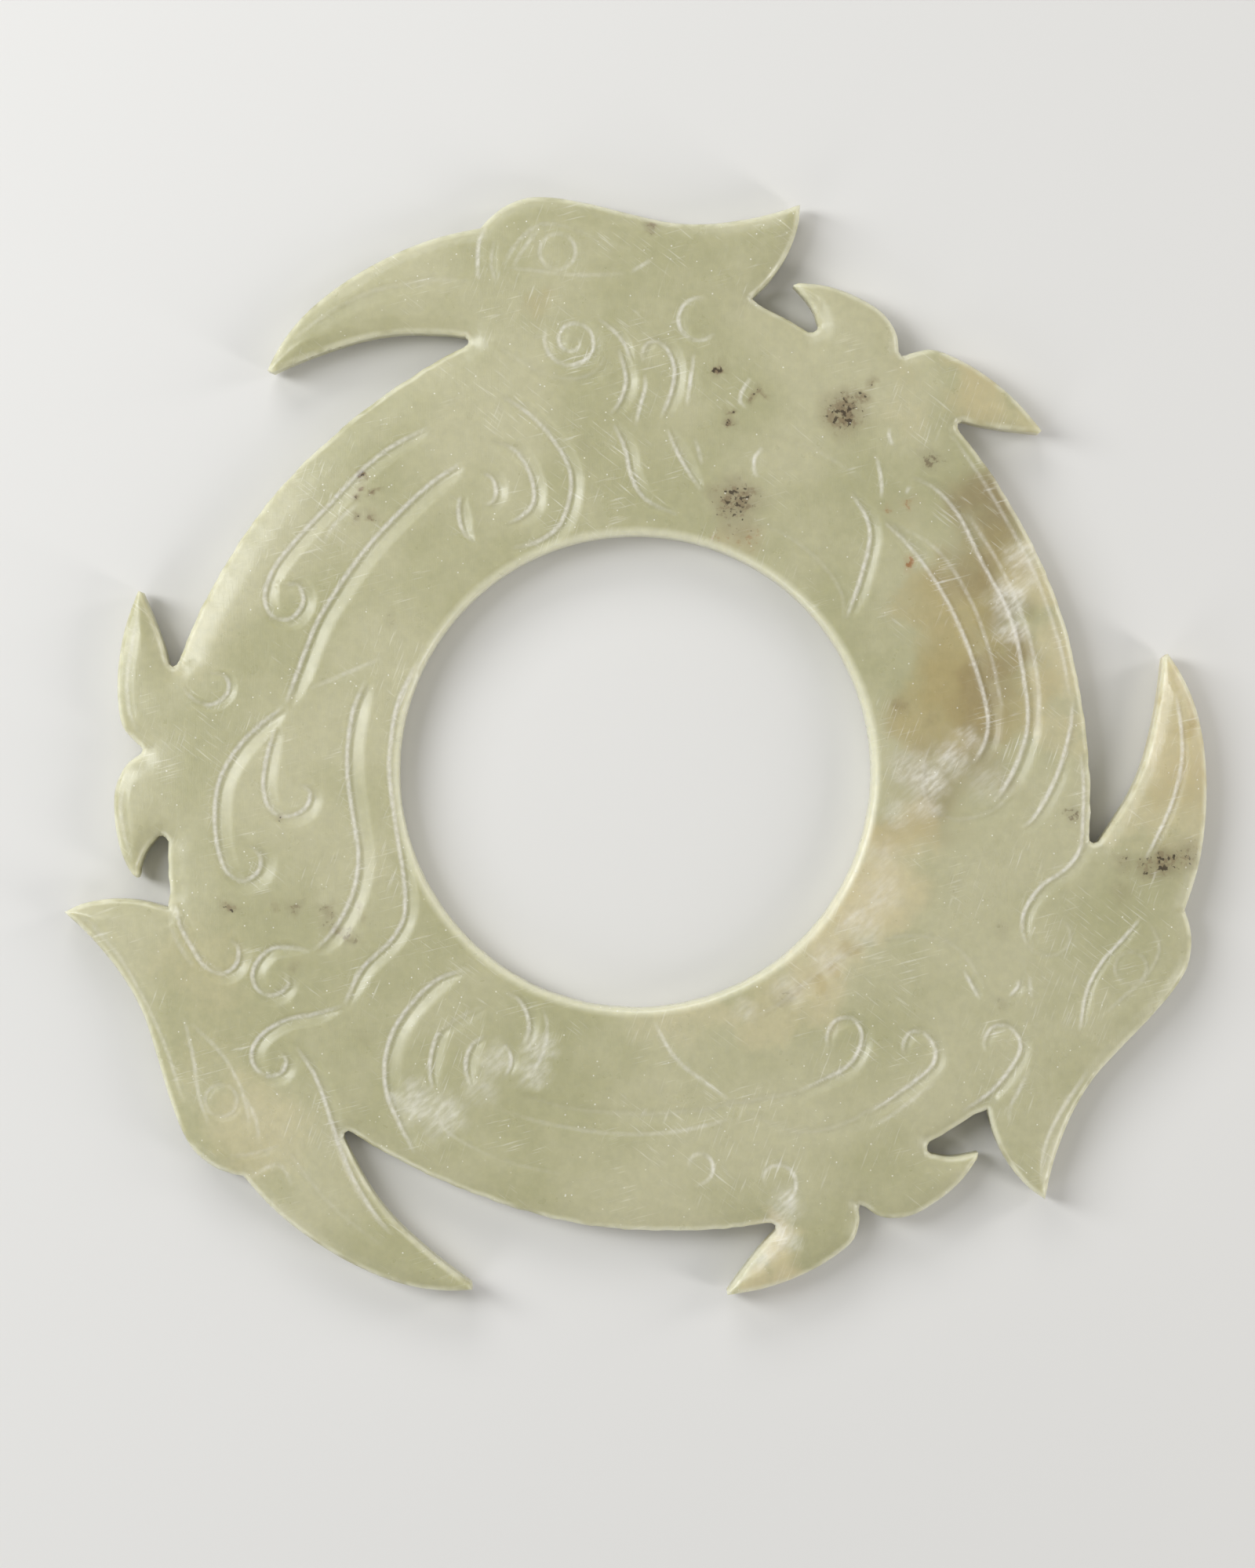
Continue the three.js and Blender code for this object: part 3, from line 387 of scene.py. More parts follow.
def smooth(places, step):
    """Points a step apart on a centripetal Catmull-Rom curve through the places."""
    given = np.asarray(places, float)
    knots = np.vstack([2 * given[0] - given[1], given, 2 * given[-1] - given[-2]])
    gaps = np.sqrt(lengths(np.diff(knots, axis=0)))
    share = np.linspace(0, 1, SPAN_STEPS, endpoint=False)[:, None]
    spans = []
    for i in range(len(given) - 1):
        p0, p1, p2, p3 = knots[i:i + 4]
        g0, g1, g2 = gaps[i:i + 3]
        leave = ((p1 - p0) / g0 - (p2 - p0) / (g0 + g1) + (p2 - p1) / g1) * g1
        reach = ((p2 - p1) / g1 - (p3 - p1) / (g1 + g2) + (p3 - p2) / g2) * g1
        spans.append(p1 + leave * share + (3 * (p2 - p1) - 2 * leave - reach) * share**2
                     + (2 * (p1 - p2) + leave + reach) * share**3)
    return evenly(np.vstack([*spans, given[-1:]]), step)


def ripple(length, seed, period):
    """A steady wandering number from -1 to 1 for each length travelled."""
    return np.array([noise.noise((x / period, seed, 0.5)) for x in length]) * 1.6


def rim_loop():
    """The whole rim, clockwise, and how softly each point slopes in: 1 on the plain ring, 0 on a bird."""
    stretches = list(BIRD_RIM.items())
    first_bearing, first_out = BIRD_RIM["beakNotch"][0]
    next_bird = [first_bearing + 360 / len(BIRDS), first_out]
    points, softness = [], []
    for number, (heading, reach) in enumerate(BIRDS.values()):
        for i, (name, places) in enumerate(stretches):
            onward = stretches[i + 1][1][0] if i + 1 < len(stretches) else next_bird
            unrolled = np.array([*places, onward]) * [MM_PER_DEGREE, reach]
            path = smooth(unrolled, RIM_STEP)[:-1]
            if name in SAWN:
                ends = np.minimum(np.arange(len(path)), np.arange(len(path))[::-1]) / 3
                sawn = SAW_RIPPLE * ripple(path[:, 0], number * 7 + i, SAW_PERIOD)
                path[:, 1] += sawn * np.minimum(1, ends)
            points.append(place(path / [MM_PER_DEGREE, 1], heading))
            softness.append(np.full(len(path), 1.0 if name in SLOPING else 0.0))
    return chipped(np.vstack(points)), np.concatenate(softness)


def chipped(points):
    """The rim's points, pushed in where it is chipped."""
    inward = -points / lengths(points)[:, None]
    for x, y, radius, depth in CHIPS:
        away = lengths(points - (x, y)) / radius
        points = points + inward * (depth * np.exp(-away**2))[:, None]
    return points


def bore_loop():
    """The bore's edge, clockwise, with the small unevenness that the drill left."""
    count = round(2 * math.pi * BORE_RADIUS / RIM_STEP)
    angle = np.arange(count) * 2 * math.pi / count
    drilled = DRILL_RIPPLE * ripple(angle * BORE_RADIUS, 3.7, DRILL_PERIOD)
    radius = BORE_RADIUS + drilled * np.sin(angle / 2)**2
    return polar(radius, angle)


RIM, RIM_SOFTNESS = rim_loop()
BORE = bore_loop()


# Carved lines


class Cut:
    """One carved line. Its path is given along the steep lip, and kept along the middle of the cut."""

    def __init__(self, lip, tool, share=1.0, closed=False):
        if closed:
            lip = np.vstack([lip, lip[:1]])
        before, after = np.roll(lip, 1, axis=0), np.roll(lip, -1, axis=0)
        before[0], after[-1] = (lip[-2], lip[1]) if closed else (lip[0], lip[-1])
        along = (after - before) / lengths(after - before)[:, None]
        self.across = np.stack([-along[:, 1], along[:, 0]], axis=1)
        self.lean = self.across @ BROAD_WAY
        self.scale = tool["width"] / FULL["width"]
        self.half = tool["width"] / 2
        self.depth = tool["depth"] * share
        self.path = lip + self.across * (self.lean * LINE_SHIFT * self.scale)[:, None]
        self.travelled = travel(self.path)
        self.closed = closed
        self.scuff_and_glint = tool["scuff_and_glint"]
        self.is_narrow = tool["width"] < NARROW_WIDTH

    def rows(self):
        """Points to mesh the cut by: rows across it, closer on its steep side."""
        lip = (-self.lean * LINE_SHIFT * self.scale)[:, None]
        if self.is_narrow:
            sides = np.hstack([lip, lip + np.array([-1, 1]) * self.half, lip + np.array([-2, 2]) * self.half])
        else:
            floor = (-self.lean * FLOOR_SHIFT * self.scale)[:, None]
            left = floor + (self.half - floor) * CUT_ROWS
            right = floor - (self.half + floor) * CUT_ROWS
            sides = np.hstack([lip, floor, right, left])
        return (self.path[:, None] + self.across[:, None] * sides[:, :, None]).reshape(-1, 2)

    def locate(self, spots):
        """How far along the line each spot is, how far to the left of it, and how the line leans there."""
        start, end = self.path[:-1], self.path[1:]
        step = end - start
        t = ((spots[:, None] - start) * step).sum(2) / (step**2).sum(1)
        t = t.clip(0, 1)
        gap = spots[:, None] - start - step * t[:, :, None]
        best = (gap**2).sum(2).argmin(1)
        each = np.arange(len(spots))
        t, gap = t[each, best], gap[each, best]
        across = self.across[best] * (1 - t)[:, None] + self.across[best + 1] * t[:, None]
        lean = self.lean[best] * (1 - t) + self.lean[best + 1] * t
        along = self.travelled[best] * (1 - t) + self.travelled[best + 1] * t
        side = lengths(gap) * np.where((gap * across).sum(1) < 0, -1, 1)
        return along, side, lean

    def carve(self, points, depth, lip_gap, scuff_and_glint):
        """Deepens the depth at the points that the cut reaches, and notes how near its lip is and how white
        it is painted there, partly as a scuff and partly as a painted glint.
        """
        reach = self.half + LIP_REACH
        low, high = self.path.min(0) - reach, self.path.max(0) + reach
        near = np.nonzero(((points > low) & (points < high)).all(1))[0]
        if not len(near):
            return
        along, side, lean = self.locate(points[near])
        floor = -lean * FLOOR_SHIFT * self.scale
        room = np.where(side > floor, self.half - floor, self.half + floor)
        away = (np.abs(side - floor) / room).clip(0, 1)
        rounded = 1 - away**2 * (3 - 2 * away)
        shape = SHARPNESS * (1 - away) + (1 - SHARPNESS) * rounded
        total = self.travelled[-1]
        to_end = np.minimum(along, total - along) / min(RUN_OUT, total / 2)
        fade = np.ones(len(near)) if self.closed else np.minimum(1, to_end)
        fade = fade * (2 - fade)
        depth[near] = np.maximum(depth[near], self.depth * np.maximum(0, shape - 1 + fade))
        gap = np.abs(side + lean * LINE_SHIFT * self.scale)
        nearer = gap < lip_gap[near]
        lip_gap[near[nearer]] = gap[nearer]
        # Partly a painted glint: the lip is painted whitest where its steep wall faces the broad way, towards
        # the right-hand lamps
        scuff_and_glint[near[nearer]] = (self.scuff_and_glint * fade * np.abs(lean)**0.5)[nearer]


def scroll_path(middle, first_radius, last_radius, start, turn, heading):
    """A scroll's points round its middle, and whether it closes on itself."""
    closed = abs(turn) == 360 and first_radius == last_radius
    length = abs(math.radians(turn)) * (first_radius + last_radius) / 2
    count = round(length / CUT_STEP)
    share = np.arange(count if closed else count + 1) / count
    angle = np.radians(start + turn * share)
    radius = first_radius + (last_radius - first_radius) * share
    centre = place([middle], heading)[0]
    return centre + polar(radius, angle), closed


def bird_cuts(heading, lines, scrolls, share=1.0):
    """One bird's cuts: its carved lines, then its scrolls."""
    cuts = [Cut(smooth(place(places, heading), CUT_STEP), tool, share) for tool, *places in lines]
    for tool, *scroll in scrolls:
        path, closed = scroll_path(*scroll, heading)
        cuts.append(Cut(path, tool, share, closed))
    return cuts


# The face's mesh


def from_rim(points):
    """How far inside the rim each point is, negative outside it, and the rim's softness nearest to it."""
    sectors = 72
    reach = 0.16  # radians of rim that are looked at on each side of a sector's middle
    start, end = RIM, np.roll(RIM, -1, axis=0)
    rim_angle = np.arctan2(RIM[:, 1], RIM[:, 0])
    angle = np.arctan2(points[:, 1], points[:, 0])
    distance = np.full(len(points), FAR_IN)
    softness = np.ones(len(points))
    is_outer = lengths(points) > RING_RADIUS - FAR_IN
    for sector in range(sectors):
        middle = (sector + 0.5) * math.tau / sectors - math.pi
        mine = np.nonzero(is_outer & (np.abs(angle - middle) <= math.pi / sectors + 1e-9))[0]
        near = np.abs((rim_angle - middle + math.pi) % math.tau - math.pi) < reach
        turn = np.array([[math.cos(middle), -math.sin(middle)], [math.sin(middle), math.cos(middle)]])
        spots, a, b = points[mine, None] @ turn, start[near] @ turn, end[near] @ turn
        step = b - a
        t = (((spots - a) * step).sum(2) / (step**2).sum(1)).clip(0, 1)
        gap = ((spots - a - step * t[:, :, None])**2).sum(2)
        best = gap.argmin(1)
        crossing = (a[:, 1] > spots[:, :, 1]) != (b[:, 1] > spots[:, :, 1])
        rise = np.where(step[:, 1] == 0, 1, step[:, 1])
        across = a[:, 0] + (spots[:, :, 1] - a[:, 1]) / rise * step[:, 0]
        inside = (crossing & (spots[:, :, 0] < across)).sum(1) % 2 == 1
        distance[mine] = np.sqrt(gap[np.arange(len(mine)), best]) * np.where(inside, 1, -1)
        softness[mine] = RIM_SOFTNESS[near][best]
    return distance, softness


def grid(spacing, low, high):
    """A triangular grid of points over a box."""
    rise = spacing * math.sqrt(3) / 2
    rows = np.arange(low[1], high[1], rise)
    columns = np.arange(low[0], high[0], spacing)
    x, y = np.meshgrid(columns, rows)
    x = x + (np.arange(len(rows)) % 2)[:, None] * spacing / 2
    return np.stack([x.ravel(), y.ravel()], axis=1)


def offset_rows(loop, offsets, sense):
    """Rows of points beside a loop, on the side that the sense gives."""
    along = np.roll(loop, -1, axis=0) - np.roll(loop, 1, axis=0)
    along /= lengths(along)[:, None]
    inward = np.stack([along[:, 1], -along[:, 0]], axis=1) * sense
    return np.vstack([loop + inward * offset for offset in offsets])


def thinned(fixed, groups):
    """The fixed points, then each group's points that keep its gap from all that are already there."""
    cell = ROW_GAP
    cells = {}
    kept = []

    def add(x, y):
        cells.setdefault((math.floor(x / cell), math.floor(y / cell)), []).append((x, y))
        kept.append((x, y))

    for x, y in fixed:
        add(x, y)
    for points, gap in groups:
        reach = math.ceil(gap / cell)
        around = [(i, j) for i in range(-reach, reach + 1) for j in range(-reach, reach + 1)]
        for x, y in points.tolist():
            column, row = math.floor(x / cell), math.floor(y / cell)
            if not any((x - u)**2 + (y - v)**2 < gap * gap
                       for i, j in around for u, v in cells.get((column + i, row + j), ())):
                add(x, y)
    return np.array(kept)


def face_points(cuts, rim_rows, specks, face_gap):
    """All the points of one face: rim, bore, rows beside them and across the cuts, and a fill."""
    low, high = RIM.min(0), RIM.max(0)
    fine = grid(RIM_GAP, low, high)
    fine = fine[lengths(fine) > RING_RADIUS - 2 * RIM_BELT]
    groups = []
    # Each kind with the gap that it keeps, and the least and most that it lies inside the rim
    for points, gap, least, most in (
            (offset_rows(RIM, rim_rows, 1), ROW_GAP, 0.1, math.inf),
            (offset_rows(BORE, BORE_ROWS, -1), ROW_GAP, 0.1, math.inf),
            (np.vstack([cut.rows() for cut in cuts]), ROW_GAP, 0.12, math.inf),
            (specks, SPECK_GAP * 0.8, 0.15, math.inf),
            (fine, RIM_GAP * 0.8, 0.15, RIM_BELT),
            (grid(face_gap, low, high), face_gap * 0.75, 0.2, math.inf)):
        radius = lengths(points)
        points = points[(radius > BORE_RADIUS + 0.1) & (radius < RING_RADIUS + 15)]
        distance, _ = from_rim(points)
        groups.append((points[(distance > least) & (distance < most)], gap))
    return thinned([*RIM.tolist(), *BORE.tolist()], groups)


def face_triangles(points):
    """The points joined into triangles that keep to the stone, anticlockwise."""
    rims, bores = len(RIM), len(BORE)
    edges = [(i, (i + 1) % rims) for i in range(rims)]
    edges += [(rims + i, rims + (i + 1) % bores) for i in range(bores)]
    found, _, faces, *_ = delaunay_2d_cdt([Vector(p) for p in points.tolist()], edges, [], 0, 1e-6, False)
    if len(found) != len(points):
        raise ValueError("two points of the face lie on each other")
    faces = np.array(faces)
    on_rim = (faces < rims).all(1)
    stone = ~((faces >= rims) & (faces < rims + bores)).all(1)
    stone[on_rim] = from_rim(points[faces[on_rim]].mean(1))[0] > 0
    faces = faces[stone]
    a, b, c = (points[faces[:, k]] for k in range(3))
    u, v = b - a, c - a
    clockwise = u[:, 0] * v[:, 1] - u[:, 1] * v[:, 0] < 0
    faces[clockwise] = faces[clockwise][:, ::-1]
    return faces


def fall(distance, reach):
    """1 at no distance, falling evenly to 0 at the reach."""
    return 1 - (distance / reach).clip(0, 1)


def face_form(points, cuts, waviness):
    """How far each point lies below the flat face, with what the material needs to know about it."""
    distance, softness = from_rim(points)
    distance = distance.clip(0)
    bevel = np.where(softness > 0.5, RING_BEVEL, BIRD_BEVEL)
    edge = (RIM_ROUND_DROP * fall(distance, ROUND_REACH)**2 + BEVEL_DROP * fall(distance, bevel)
            + (RIM_DROP - RIM_ROUND_DROP - BEVEL_DROP) * fall(distance, FAR_IN)**2)
    from_bore = (lengths(points) - BORE_RADIUS).clip(0)
    lip = (BORE_ROUND_DROP * fall(from_bore, ROUND_REACH)**2
           + (BORE_DROP - BORE_ROUND_DROP) * fall(from_bore, BORE_BEVEL)**BORE_BULGE)
    depth, lip_gap, scuff_and_glint = np.zeros(len(points)), np.full(len(points), LIP_REACH), np.zeros(len(points))
    for cut in cuts:
        cut.carve(points, depth, lip_gap, scuff_and_glint)
    wave = np.array([noise.noise((x / LONG_WAVE, y / LONG_WAVE, 4.2))
                     + 0.4 * noise.noise((x / SHORT_WAVE, y / SHORT_WAVE, 1.7)) for x, y in points.tolist()])
    known = {"from_rim": distance, "lip_gap": lip_gap, "scuff_and_glint": scuff_and_glint}
    return edge + lip + depth + waviness * (wave + 0.6).clip(0), known


def strayed(points, period, reach):
    """The points moved about by noise, so that what is drawn round on them comes out ragged."""
    moved = [noise.noise_vector((x / period, y / period, 2.6)) + 0.5 * noise.noise_vector(
        (3 * x / period, 3 * y / period, 8.1)) for x, y in points.tolist()]
    return points + reach * np.array(moved)[:, :2]


def stain_masks(points):
    """How strongly each stain colours each point."""
    wide = strayed(points, period=6, reach=3)
    near = strayed(points, period=1.6, reach=0.7)
    masks = {}
    for name, (patches, softness) in STAINS.items():
        places = wide if name in WIDE_STAINS else near
        mask = np.zeros(len(points))
        for x, y, radius, strength in patches:
            away = lengths(places - (x, y)) / radius
            share = ((1 + softness - away) / (2 * softness)).clip(0, 1)
            mask = np.maximum(mask, strength * share**2 * (3 - 2 * share))
        masks[name] = mask
    return masks


def speck_points():
    """Close points where the small specks are."""
    spots = []
    for patches, softness in STAINS.values():
        for x, y, radius, _ in patches:
            if radius <= SPECK_RADIUS:
                reach = radius * (1 + softness)
                around = grid(SPECK_GAP, (-reach, -reach), (reach, reach))
                spots.append(around[lengths(around) < reach] + (x, y))
    return np.vstack(spots)


def disc_mesh():
    """The whole disc: carved face, plainer underside, and the rim's and the bore's upright bands between."""
    face, under = [], []
    for name, (heading, _) in BIRDS.items():
        face += bird_cuts(heading, LINES[name].values(), SCROLLS[name].values())
        under += bird_cuts(heading, UNDERSIDE.values(), [UNDERSIDE_EYE], UNDERSIDE_SHARE)
    top_points = face_points(face, FACE_RIM_ROWS, speck_points(), FACE_GAP)
    under_points = face_points(under, UNDER_RIM_ROWS, np.zeros((0, 2)), UNDER_GAP)
    top_faces, under_faces = face_triangles(top_points), face_triangles(under_points)
    top_drop, top_known = face_form(top_points, face, FACE_WAVE)
    under_drop, under_known = face_form(under_points, under, UNDER_WAVE)
    loops = len(RIM) + len(BORE)
    top_drop[:len(RIM)] = under_drop[:len(RIM)] = RIM_DROP
    top_drop[len(RIM):loops] = under_drop[len(RIM):loops] = BORE_DROP

    vertices = [np.column_stack([top_points, THICKNESS - top_drop]),
                np.column_stack([under_points, under_drop])]
    under_first = len(top_points)
    next_first = under_first + len(under_points)
    levels = [0]
    for share in BAND_ROWS:
        ring = np.vstack([RIM, BORE])
        drop = np.concatenate([np.full(len(RIM), RIM_DROP), np.full(len(BORE), BORE_DROP)])
        height = (THICKNESS - drop) * (1 - share) + drop * share
        vertices.append(np.column_stack([ring, height]))
        levels.append(next_first)
        next_first += loops
    levels.append(under_first)
    faces = top_faces.tolist() + (under_faces[:, ::-1] + under_first).tolist()
    for upper, lower in zip(levels, levels[1:]):
        for first, count, sense in ((0, len(RIM), 1), (len(RIM), len(BORE), -1)):
            for i in range(count):
                here, onward = first + i, first + (i + 1) % count
                quad = [upper + here, upper + onward, lower + onward, lower + here]
                faces.append(quad[::sense])

    mesh = bpy.data.meshes.new("xuanji_disc_carved")
    spots = np.vstack(vertices)
    spots[:, :2] += BORE_MIDDLE
    mesh.from_pydata((spots * MM).tolist(), [], faces)
    on_bands = {"from_rim": 0.5, "lip_gap": 0.0, "scuff_and_glint": 0.0}  # what the upright bands count as
    rows = len(BAND_ROWS) * loops
    values = {name: np.concatenate([top_known[name], under_known[name], np.full(rows, value)])
              for name, value in on_bands.items()}
    values.update(stain_masks(np.vstack([block[:, :2] for block in vertices])))
    for name, numbers in values.items():
        attribute = mesh.attributes.new(name, "FLOAT", "POINT")
        attribute.data.foreach_set("value", numbers.astype(np.float32))
    mesh.polygons.foreach_set("use_smooth", [True] * len(mesh.polygons))
    mesh.update()
    return mesh


# The jade

# Colours, linear
GREEN = (0.435, 0.42, 0.245)
PALE = (0.52, 0.497, 0.322)
CREAM_AND_SHEEN = (0.64, 0.56, 0.35)
# painted glow of the thin edges, as if light came through them
EDGE_GLOW = (0.78, 0.765, 0.6)
SMOKE = (0.27, 0.2, 0.095)
OCHRE = (0.43, 0.335, 0.14)
# The chalk's white, also used for scratches, for the painted glints on the cuts and for the painted sparkle
# of the pits
CHALK_AND_GLINT = (0.86, 0.84, 0.77)
SOOT = (0.06, 0.043, 0.022)
ASH = (0.17, 0.125, 0.07)
RUST = (0.36, 0.17, 0.06)
HAZE = (0.24, 0.18, 0.1)

# Scales of the stone's noises, per millimetre
CLOUD_SCALE = 0.07
SLOW_SCALE = 0.35
POLISH_SCALE = 0.5
GRAIN_SCALE = 1.3
SPECK_SCALE = 1.9
SOOT_SCALE = 2.0

STAIN_GRAIN = 0.3  # how much the grain breaks up a wide stain
FEATHER_BEARING = 50  # the way that the chalk's streaks run
SCRATCHES = ((20, 3.0), (75, 7.0), (128, 11.0))  # each bundle's bearing and layer of noise
POLISH = (0.27, 0.38)  # least and most roughness
UNPOLISHED = 0.2  # roughness added where the stone is scuffed or chalky
POLISH_RELIEF = 0.012


class Web:
    """Adds shader nodes to a material and links them. An input may be a value or another node's output."""

    def __init__(self, material):
        self.tree = material.node_tree

    def put(self, socket, value):
        if isinstance(value, bpy.types.NodeSocket):
            self.tree.links.new(value, socket)
        else:
            socket.default_value = value

    def node(self, kind, settings, inputs, output=0):
        made = self.tree.nodes.new(kind)
        for name, value in settings.items():
            setattr(made, name, value)
        for name, value in inputs.items():
            self.put(made.inputs[name], value)
        return made.outputs[output]

    def sum(self, operation, a, b=0.0, third=0.0):
        return self.node("ShaderNodeMath", {"operation": operation}, {0: a, 1: b, 2: third})

    def vector(self, operation, a, b=(0, 0, 0), output=0):
        return self.node("ShaderNodeVectorMath", {"operation": operation}, {0: a, 1: b}, output)

    def ramp(self, value, low, high, least=0.0, most=1.0, way="SMOOTHSTEP"):
        """From least where the value is at low, to most where it is at high."""
        return self.node("ShaderNodeMapRange", {"interpolation_type": way},
                         {"Value": value, "From Min": low, "From Max": high, "To Min": least, "To Max": most})

    def noise(self, where, scale, detail):
        return self.node("ShaderNodeTexNoise", {}, {"Vector": where, "Scale": scale, "Detail": detail}, "Fac")

    def blend(self, share, low, high):
        low, high = (tint if isinstance(tint, bpy.types.NodeSocket) else (*tint, 1) for tint in (low, high))
        return self.node("ShaderNodeMix", {"data_type": "RGBA"}, {0: share, 6: low, 7: high}, 2)

    def attribute(self, name):
        return self.node("ShaderNodeAttribute", {"attribute_name": name}, {}, "Fac")


def jade():
    """Pale green nephrite: cloudy, smoky on one side, specked and chalky in places, and softly polished, with
    painted glints on its cuts, a painted glow at its edges and a painted sheen on one head.
    """
    material = bpy.data.materials.new("jade")
    material.use_nodes = True
    web = Web(material)
    shader = material.node_tree.nodes["Principled BSDF"]
    middle = (*(BORE_MIDDLE * MM), 0)
    local = web.vector("SUBTRACT", web.node("ShaderNodeTexCoord", {}, {}, "Object"), middle)
    solid = web.vector("MULTIPLY", local, (1 / MM, 1 / MM, 1 / MM))  # millimetres from the bore's middle
    flat = web.vector("MULTIPLY", solid, (1, 1, 0))
    grain = web.noise(solid, GRAIN_SCALE, 5)
    specks = web.noise(solid, SPECK_SCALE, 5)
    slow = web.noise(solid, SLOW_SCALE, 2)

    def product(a, b):
        return web.sum("MULTIPLY", a, b)

    def turned(bearing, layer):
        """Places measured along a bearing, across it, and on a layer of their own."""
        along = (math.sin(math.radians(bearing)), math.cos(math.radians(bearing)), 0)
        across = (along[1], -along[0], 0)
        u, v = (web.vector("DOT_PRODUCT", solid, way, "Value") for way in (along, across))
        return web.node("ShaderNodeCombineXYZ", {}, {0: u, 1: v, 2: layer})

    # The cloudy green, with wide stains that the grain breaks up; a few cream patches are painted sheen
    colour = web.blend(web.ramp(web.noise(solid, CLOUD_SCALE, 4), 0.36, 0.66), GREEN, PALE)
    for name, tint in (("cream_and_sheen", CREAM_AND_SHEEN), ("ochre", OCHRE), ("smoke", SMOKE)):
        mask = web.attribute(name)
        ragged = web.sum("MULTIPLY_ADD", grain, STAIN_GRAIN, third=mask)
        ragged = web.ramp(ragged, STAIN_GRAIN * 0.5, STAIN_GRAIN * 0.5 + 0.4)
        colour = web.blend(product(mask, ragged), colour, tint)

    # Streaky chalk, then the darker patches and their specks
    feather = web.noise(web.vector("MULTIPLY", turned(FEATHER_BEARING, 0.0), (0.7, 2.1, 1)), 1.0, 6)
    feather = web.sum("MULTIPLY_ADD", web.ramp(feather, 0.32, 0.7), 0.7, third=0.3)
    chalk = product(web.attribute("chalk"), feather)
    colour = web.blend(product(chalk, 0.75), colour, CHALK_AND_GLINT)
    for name, tint, haze, strength in (("ash", ASH, 0.25, 0.75), ("rust", RUST, 0.3, 0.8),
                                       ("soot", HAZE, 0.5, 0.4)):
        mask = web.attribute(name)
        mottled = web.ramp(web.sum("MULTIPLY_ADD", mask, 0.28, third=specks), 0.66, 0.8)
        mottled = web.sum("ADD", product(mottled, strength), haze)
        colour = web.blend(product(mask, mottled), colour, tint)
    speckle = web.sum("MULTIPLY_ADD", web.attribute("soot"), 0.29, third=web.noise(solid, SOOT_SCALE, 5))
    colour = web.blend(product(web.ramp(speckle, 0.77, 0.85), 0.9), colour, SOOT)

    # Painted glow: the stone's edges and the bore's edge are painted paler, as if light came through them
    rim = product(web.ramp(web.attribute("from_rim"), 0.7, 0.1), web.ramp(slow, 0.25, 0.6))
    bore = web.ramp(web.vector("LENGTH", flat, output="Value"), BORE_RADIUS + 1.1, BORE_RADIUS + 0.2)
    colour = web.blend(product(web.sum("MAXIMUM", rim, bore), 0.7), colour, EDGE_GLOW)
    # Painted glint, partly real: the steep sides of its cuts are left unpolished and are painted white
    streaks = web.sum("MULTIPLY_ADD", web.ramp(specks, 0.3, 0.7), 0.6, third=0.5)
    scuff_and_glint_mask = product(web.ramp(web.attribute("lip_gap"), 0.36, 0.02), web.attribute("scuff_and_glint"))
    scuff_and_glint_mask = product(scuff_and_glint_mask, streaks)
    colour = web.blend(product(scuff_and_glint_mask, 0.85), colour, CHALK_AND_GLINT)

    # Tiny bright pits, painted white: partly real pits, partly painted sparkle
    pits_and_sparkle = web.node("ShaderNodeTexVoronoi", {}, {"Vector": solid, "Scale": 1.0}, "Distance")
    pits_and_sparkle = product(web.ramp(pits_and_sparkle, 0.11, 0.05), web.ramp(slow, 0.4, 0.56))
    colour = web.blend(product(pits_and_sparkle, 0.75), colour, CHALK_AND_GLINT)

    # Fine scratches, in bundles that run one way
    for bearing, layer in SCRATCHES:
        spot = turned(bearing, layer)
        thin = web.noise(web.vector("MULTIPLY", spot, (0.28, 4.2, 1)), 1.0, 2)
        bundle = web.ramp(web.noise(spot, 0.13, 1), 0.54, 0.66)
        bundle = web.sum("MULTIPLY_ADD", web.attribute("scuff_and_glint"), 0.8, third=bundle)
        scratch = product(web.ramp(thin, 0.58, 0.72), bundle)
        colour = web.blend(product(scratch, 0.3), colour, CHALK_AND_GLINT)

    light = web.ramp(grain, 0.3, 0.7, 0.95, 1.04, "LINEAR")
    light = web.node("ShaderNodeCombineXYZ", {}, {0: light, 1: light, 2: light})
    web.put(shader.inputs["Base Color"], web.vector("MULTIPLY", colour, light))

    rough = web.ramp(web.noise(solid, POLISH_SCALE, 4), 0.3, 0.7, *POLISH, "LINEAR")
    rough = web.sum("ADD", rough, product(web.sum("MAXIMUM", scuff_and_glint_mask, chalk), UNPOLISHED))
    web.put(shader.inputs["Roughness"], rough)

    hairs = web.noise(web.vector("MULTIPLY", solid, (7, 0.7, 1)), 1.0, 4)
    cross = web.noise(web.vector("MULTIPLY", solid, (0.8, 5, 1)), 1.0, 4)
    relief = web.sum("ADD", web.sum("ADD", hairs, product(cross, 0.5)), product(grain, 0.8))
    relief = web.sum("SUBTRACT", relief, pits_and_sparkle)
    bump = web.node("ShaderNodeBump", {}, {"Height": relief, "Distance": POLISH_RELIEF * MM, "Strength": 1.0})
    web.put(shader.inputs["Normal"], bump)

    shader.inputs["IOR"].default_value = 1.61
    shader.inputs["Subsurface Weight"].default_value = 0.6
    shader.inputs["Subsurface Radius"].default_value = (1, 0.95, 0.7)
    shader.inputs["Subsurface Scale"].default_value = 0.0018
    return material


# The scene

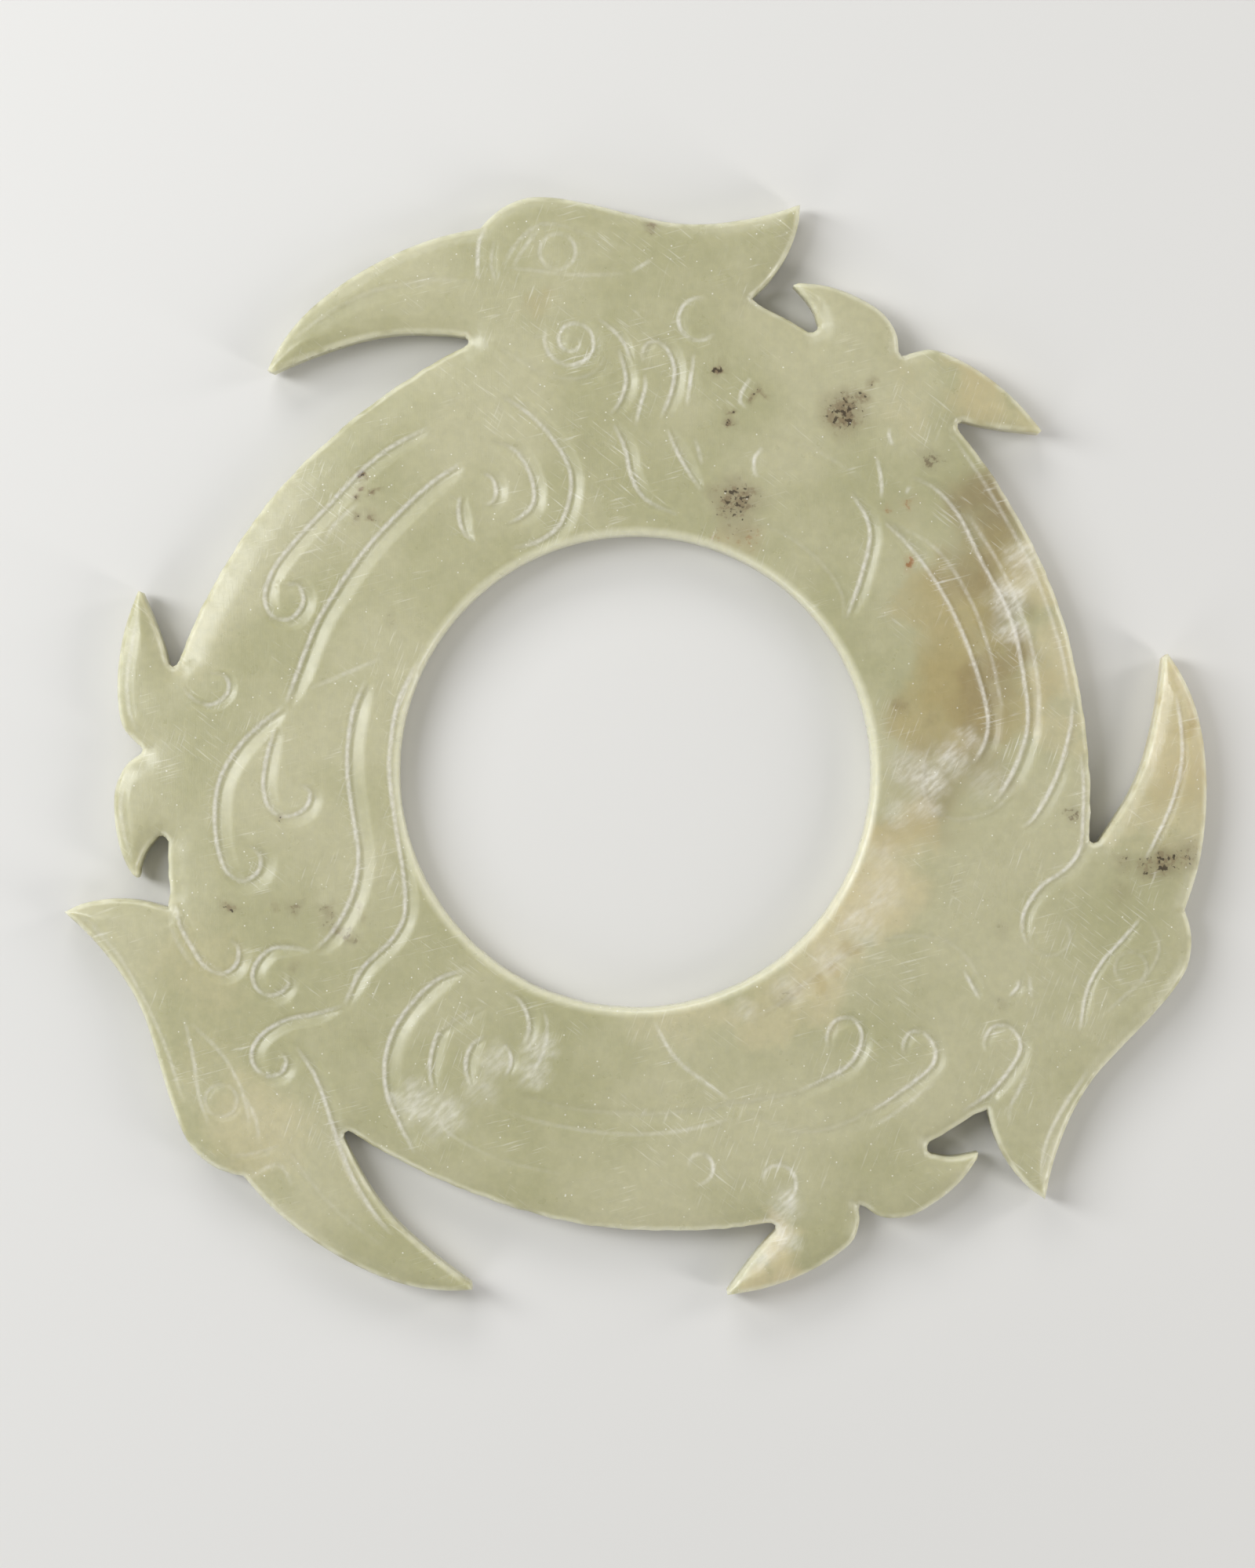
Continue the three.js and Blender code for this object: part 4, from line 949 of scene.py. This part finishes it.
FLOOR_REACH_M = 1.2
FLOOR_COLOUR = (0.72, 0.71, 0.69)
WORLD_STRENGTH = 0.25
WARM, COOL, WHITE = (1, 0.985, 0.96), (0.97, 0.99, 1), (1, 1, 1)
LAMPS = {  # place and size in metres, watts and colour
    "right_lamp": ((0.4, -0.2, 0.2), (0.1, 0.34), 0.76, WARM),
    "far_right_lamp": ((0.43, 0.15, 0.21), (0.1, 0.3), 0.49, WARM),
    "left_lamp": ((-0.36, 0.12, 0.37), (0.16, 0.45), 1.83, COOL),
    "back_lamp": ((-0.16, 0.44, 0.3), (0.4, 0.2), 0.92, WHITE),
    "low_left_lamp": ((-0.3, -0.36, 0.2), (0.2, 0.3), 0.45, WHITE),
}

# The photograph in pixels, with the middle of the bore in it, and the lens
PHOTO_WIDTH, PHOTO_HEIGHT = 1600, 1999
BORE_ACROSS, BORE_DOWN = 810, 984
PIXELS_PER_MM = 12
LENS = 100
SENSOR = 36


def build_disc():
    piece = bpy.data.objects.new("xuanji_disc_carved", disc_mesh())
    bpy.context.scene.collection.objects.link(piece)
    piece.data.materials.append(jade())
    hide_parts("xuanji_disc")
    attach(piece, "root")


def build_floor():
    mesh = bpy.data.meshes.new("floor")
    corners = [(x * FLOOR_REACH_M, y * FLOOR_REACH_M, 0) for x, y in ((-1, -1), (1, -1), (1, 1), (-1, 1))]
    mesh.from_pydata(corners, [], [(0, 1, 2, 3)])
    floor = bpy.data.objects.new("floor", mesh)
    bpy.context.scene.collection.objects.link(floor)
    material = bpy.data.materials.new("floor")
    material.use_nodes = True
    shader = material.node_tree.nodes["Principled BSDF"]
    shader.inputs["Base Color"].default_value = (*FLOOR_COLOUR, 1)
    shader.inputs["Roughness"].default_value = 0.9
    floor.data.materials.append(material)


def add_lamp(name, place_m, size_m, watts, colour):
    """A soft rectangular lamp that looks at the disc."""
    lamp = bpy.data.lights.new(name, "AREA")
    lamp.shape = "RECTANGLE"
    lamp.size, lamp.size_y = size_m
    lamp.energy = watts
    lamp.color = colour
    holder = bpy.data.objects.new(name, lamp)
    holder.location = place_m
    holder.rotation_euler = (-Vector(place_m)).to_track_quat("-Z", "Y").to_euler()
    bpy.context.scene.collection.objects.link(holder)


def build_lights():
    for name, lamp in LAMPS.items():
        add_lamp(name, *lamp)
    world = bpy.data.worlds.new("studio")
    world.use_nodes = True
    world.node_tree.nodes["Background"].inputs["Color"].default_value = (1, 1, 1, 1)
    world.node_tree.nodes["Background"].inputs["Strength"].default_value = WORLD_STRENGTH
    bpy.context.scene.world = world


def build_camera():
    """Straight above the face, with the photograph's frame."""
    camera = bpy.data.cameras.new("camera")
    camera.sensor_fit = "VERTICAL"
    camera.sensor_height = SENSOR
    camera.lens = LENS
    holder = bpy.data.objects.new("camera", camera)
    bore_x, bore_y = BORE_MIDDLE * MM
    bore_right = (BORE_ACROSS - PHOTO_WIDTH / 2) / PIXELS_PER_MM * MM
    bore_up = (PHOTO_HEIGHT / 2 - BORE_DOWN) / PIXELS_PER_MM * MM
    distance = PHOTO_HEIGHT / PIXELS_PER_MM * MM * LENS / SENSOR
    holder.location = (bore_x - bore_right, bore_y - bore_up, DISC_HIGH.z + distance)
    bpy.context.scene.collection.objects.link(holder)
    bpy.context.scene.camera = holder


build_camera()
build_disc()
build_floor()
build_lights()
bpy.context.scene.view_settings.view_transform = "Standard"
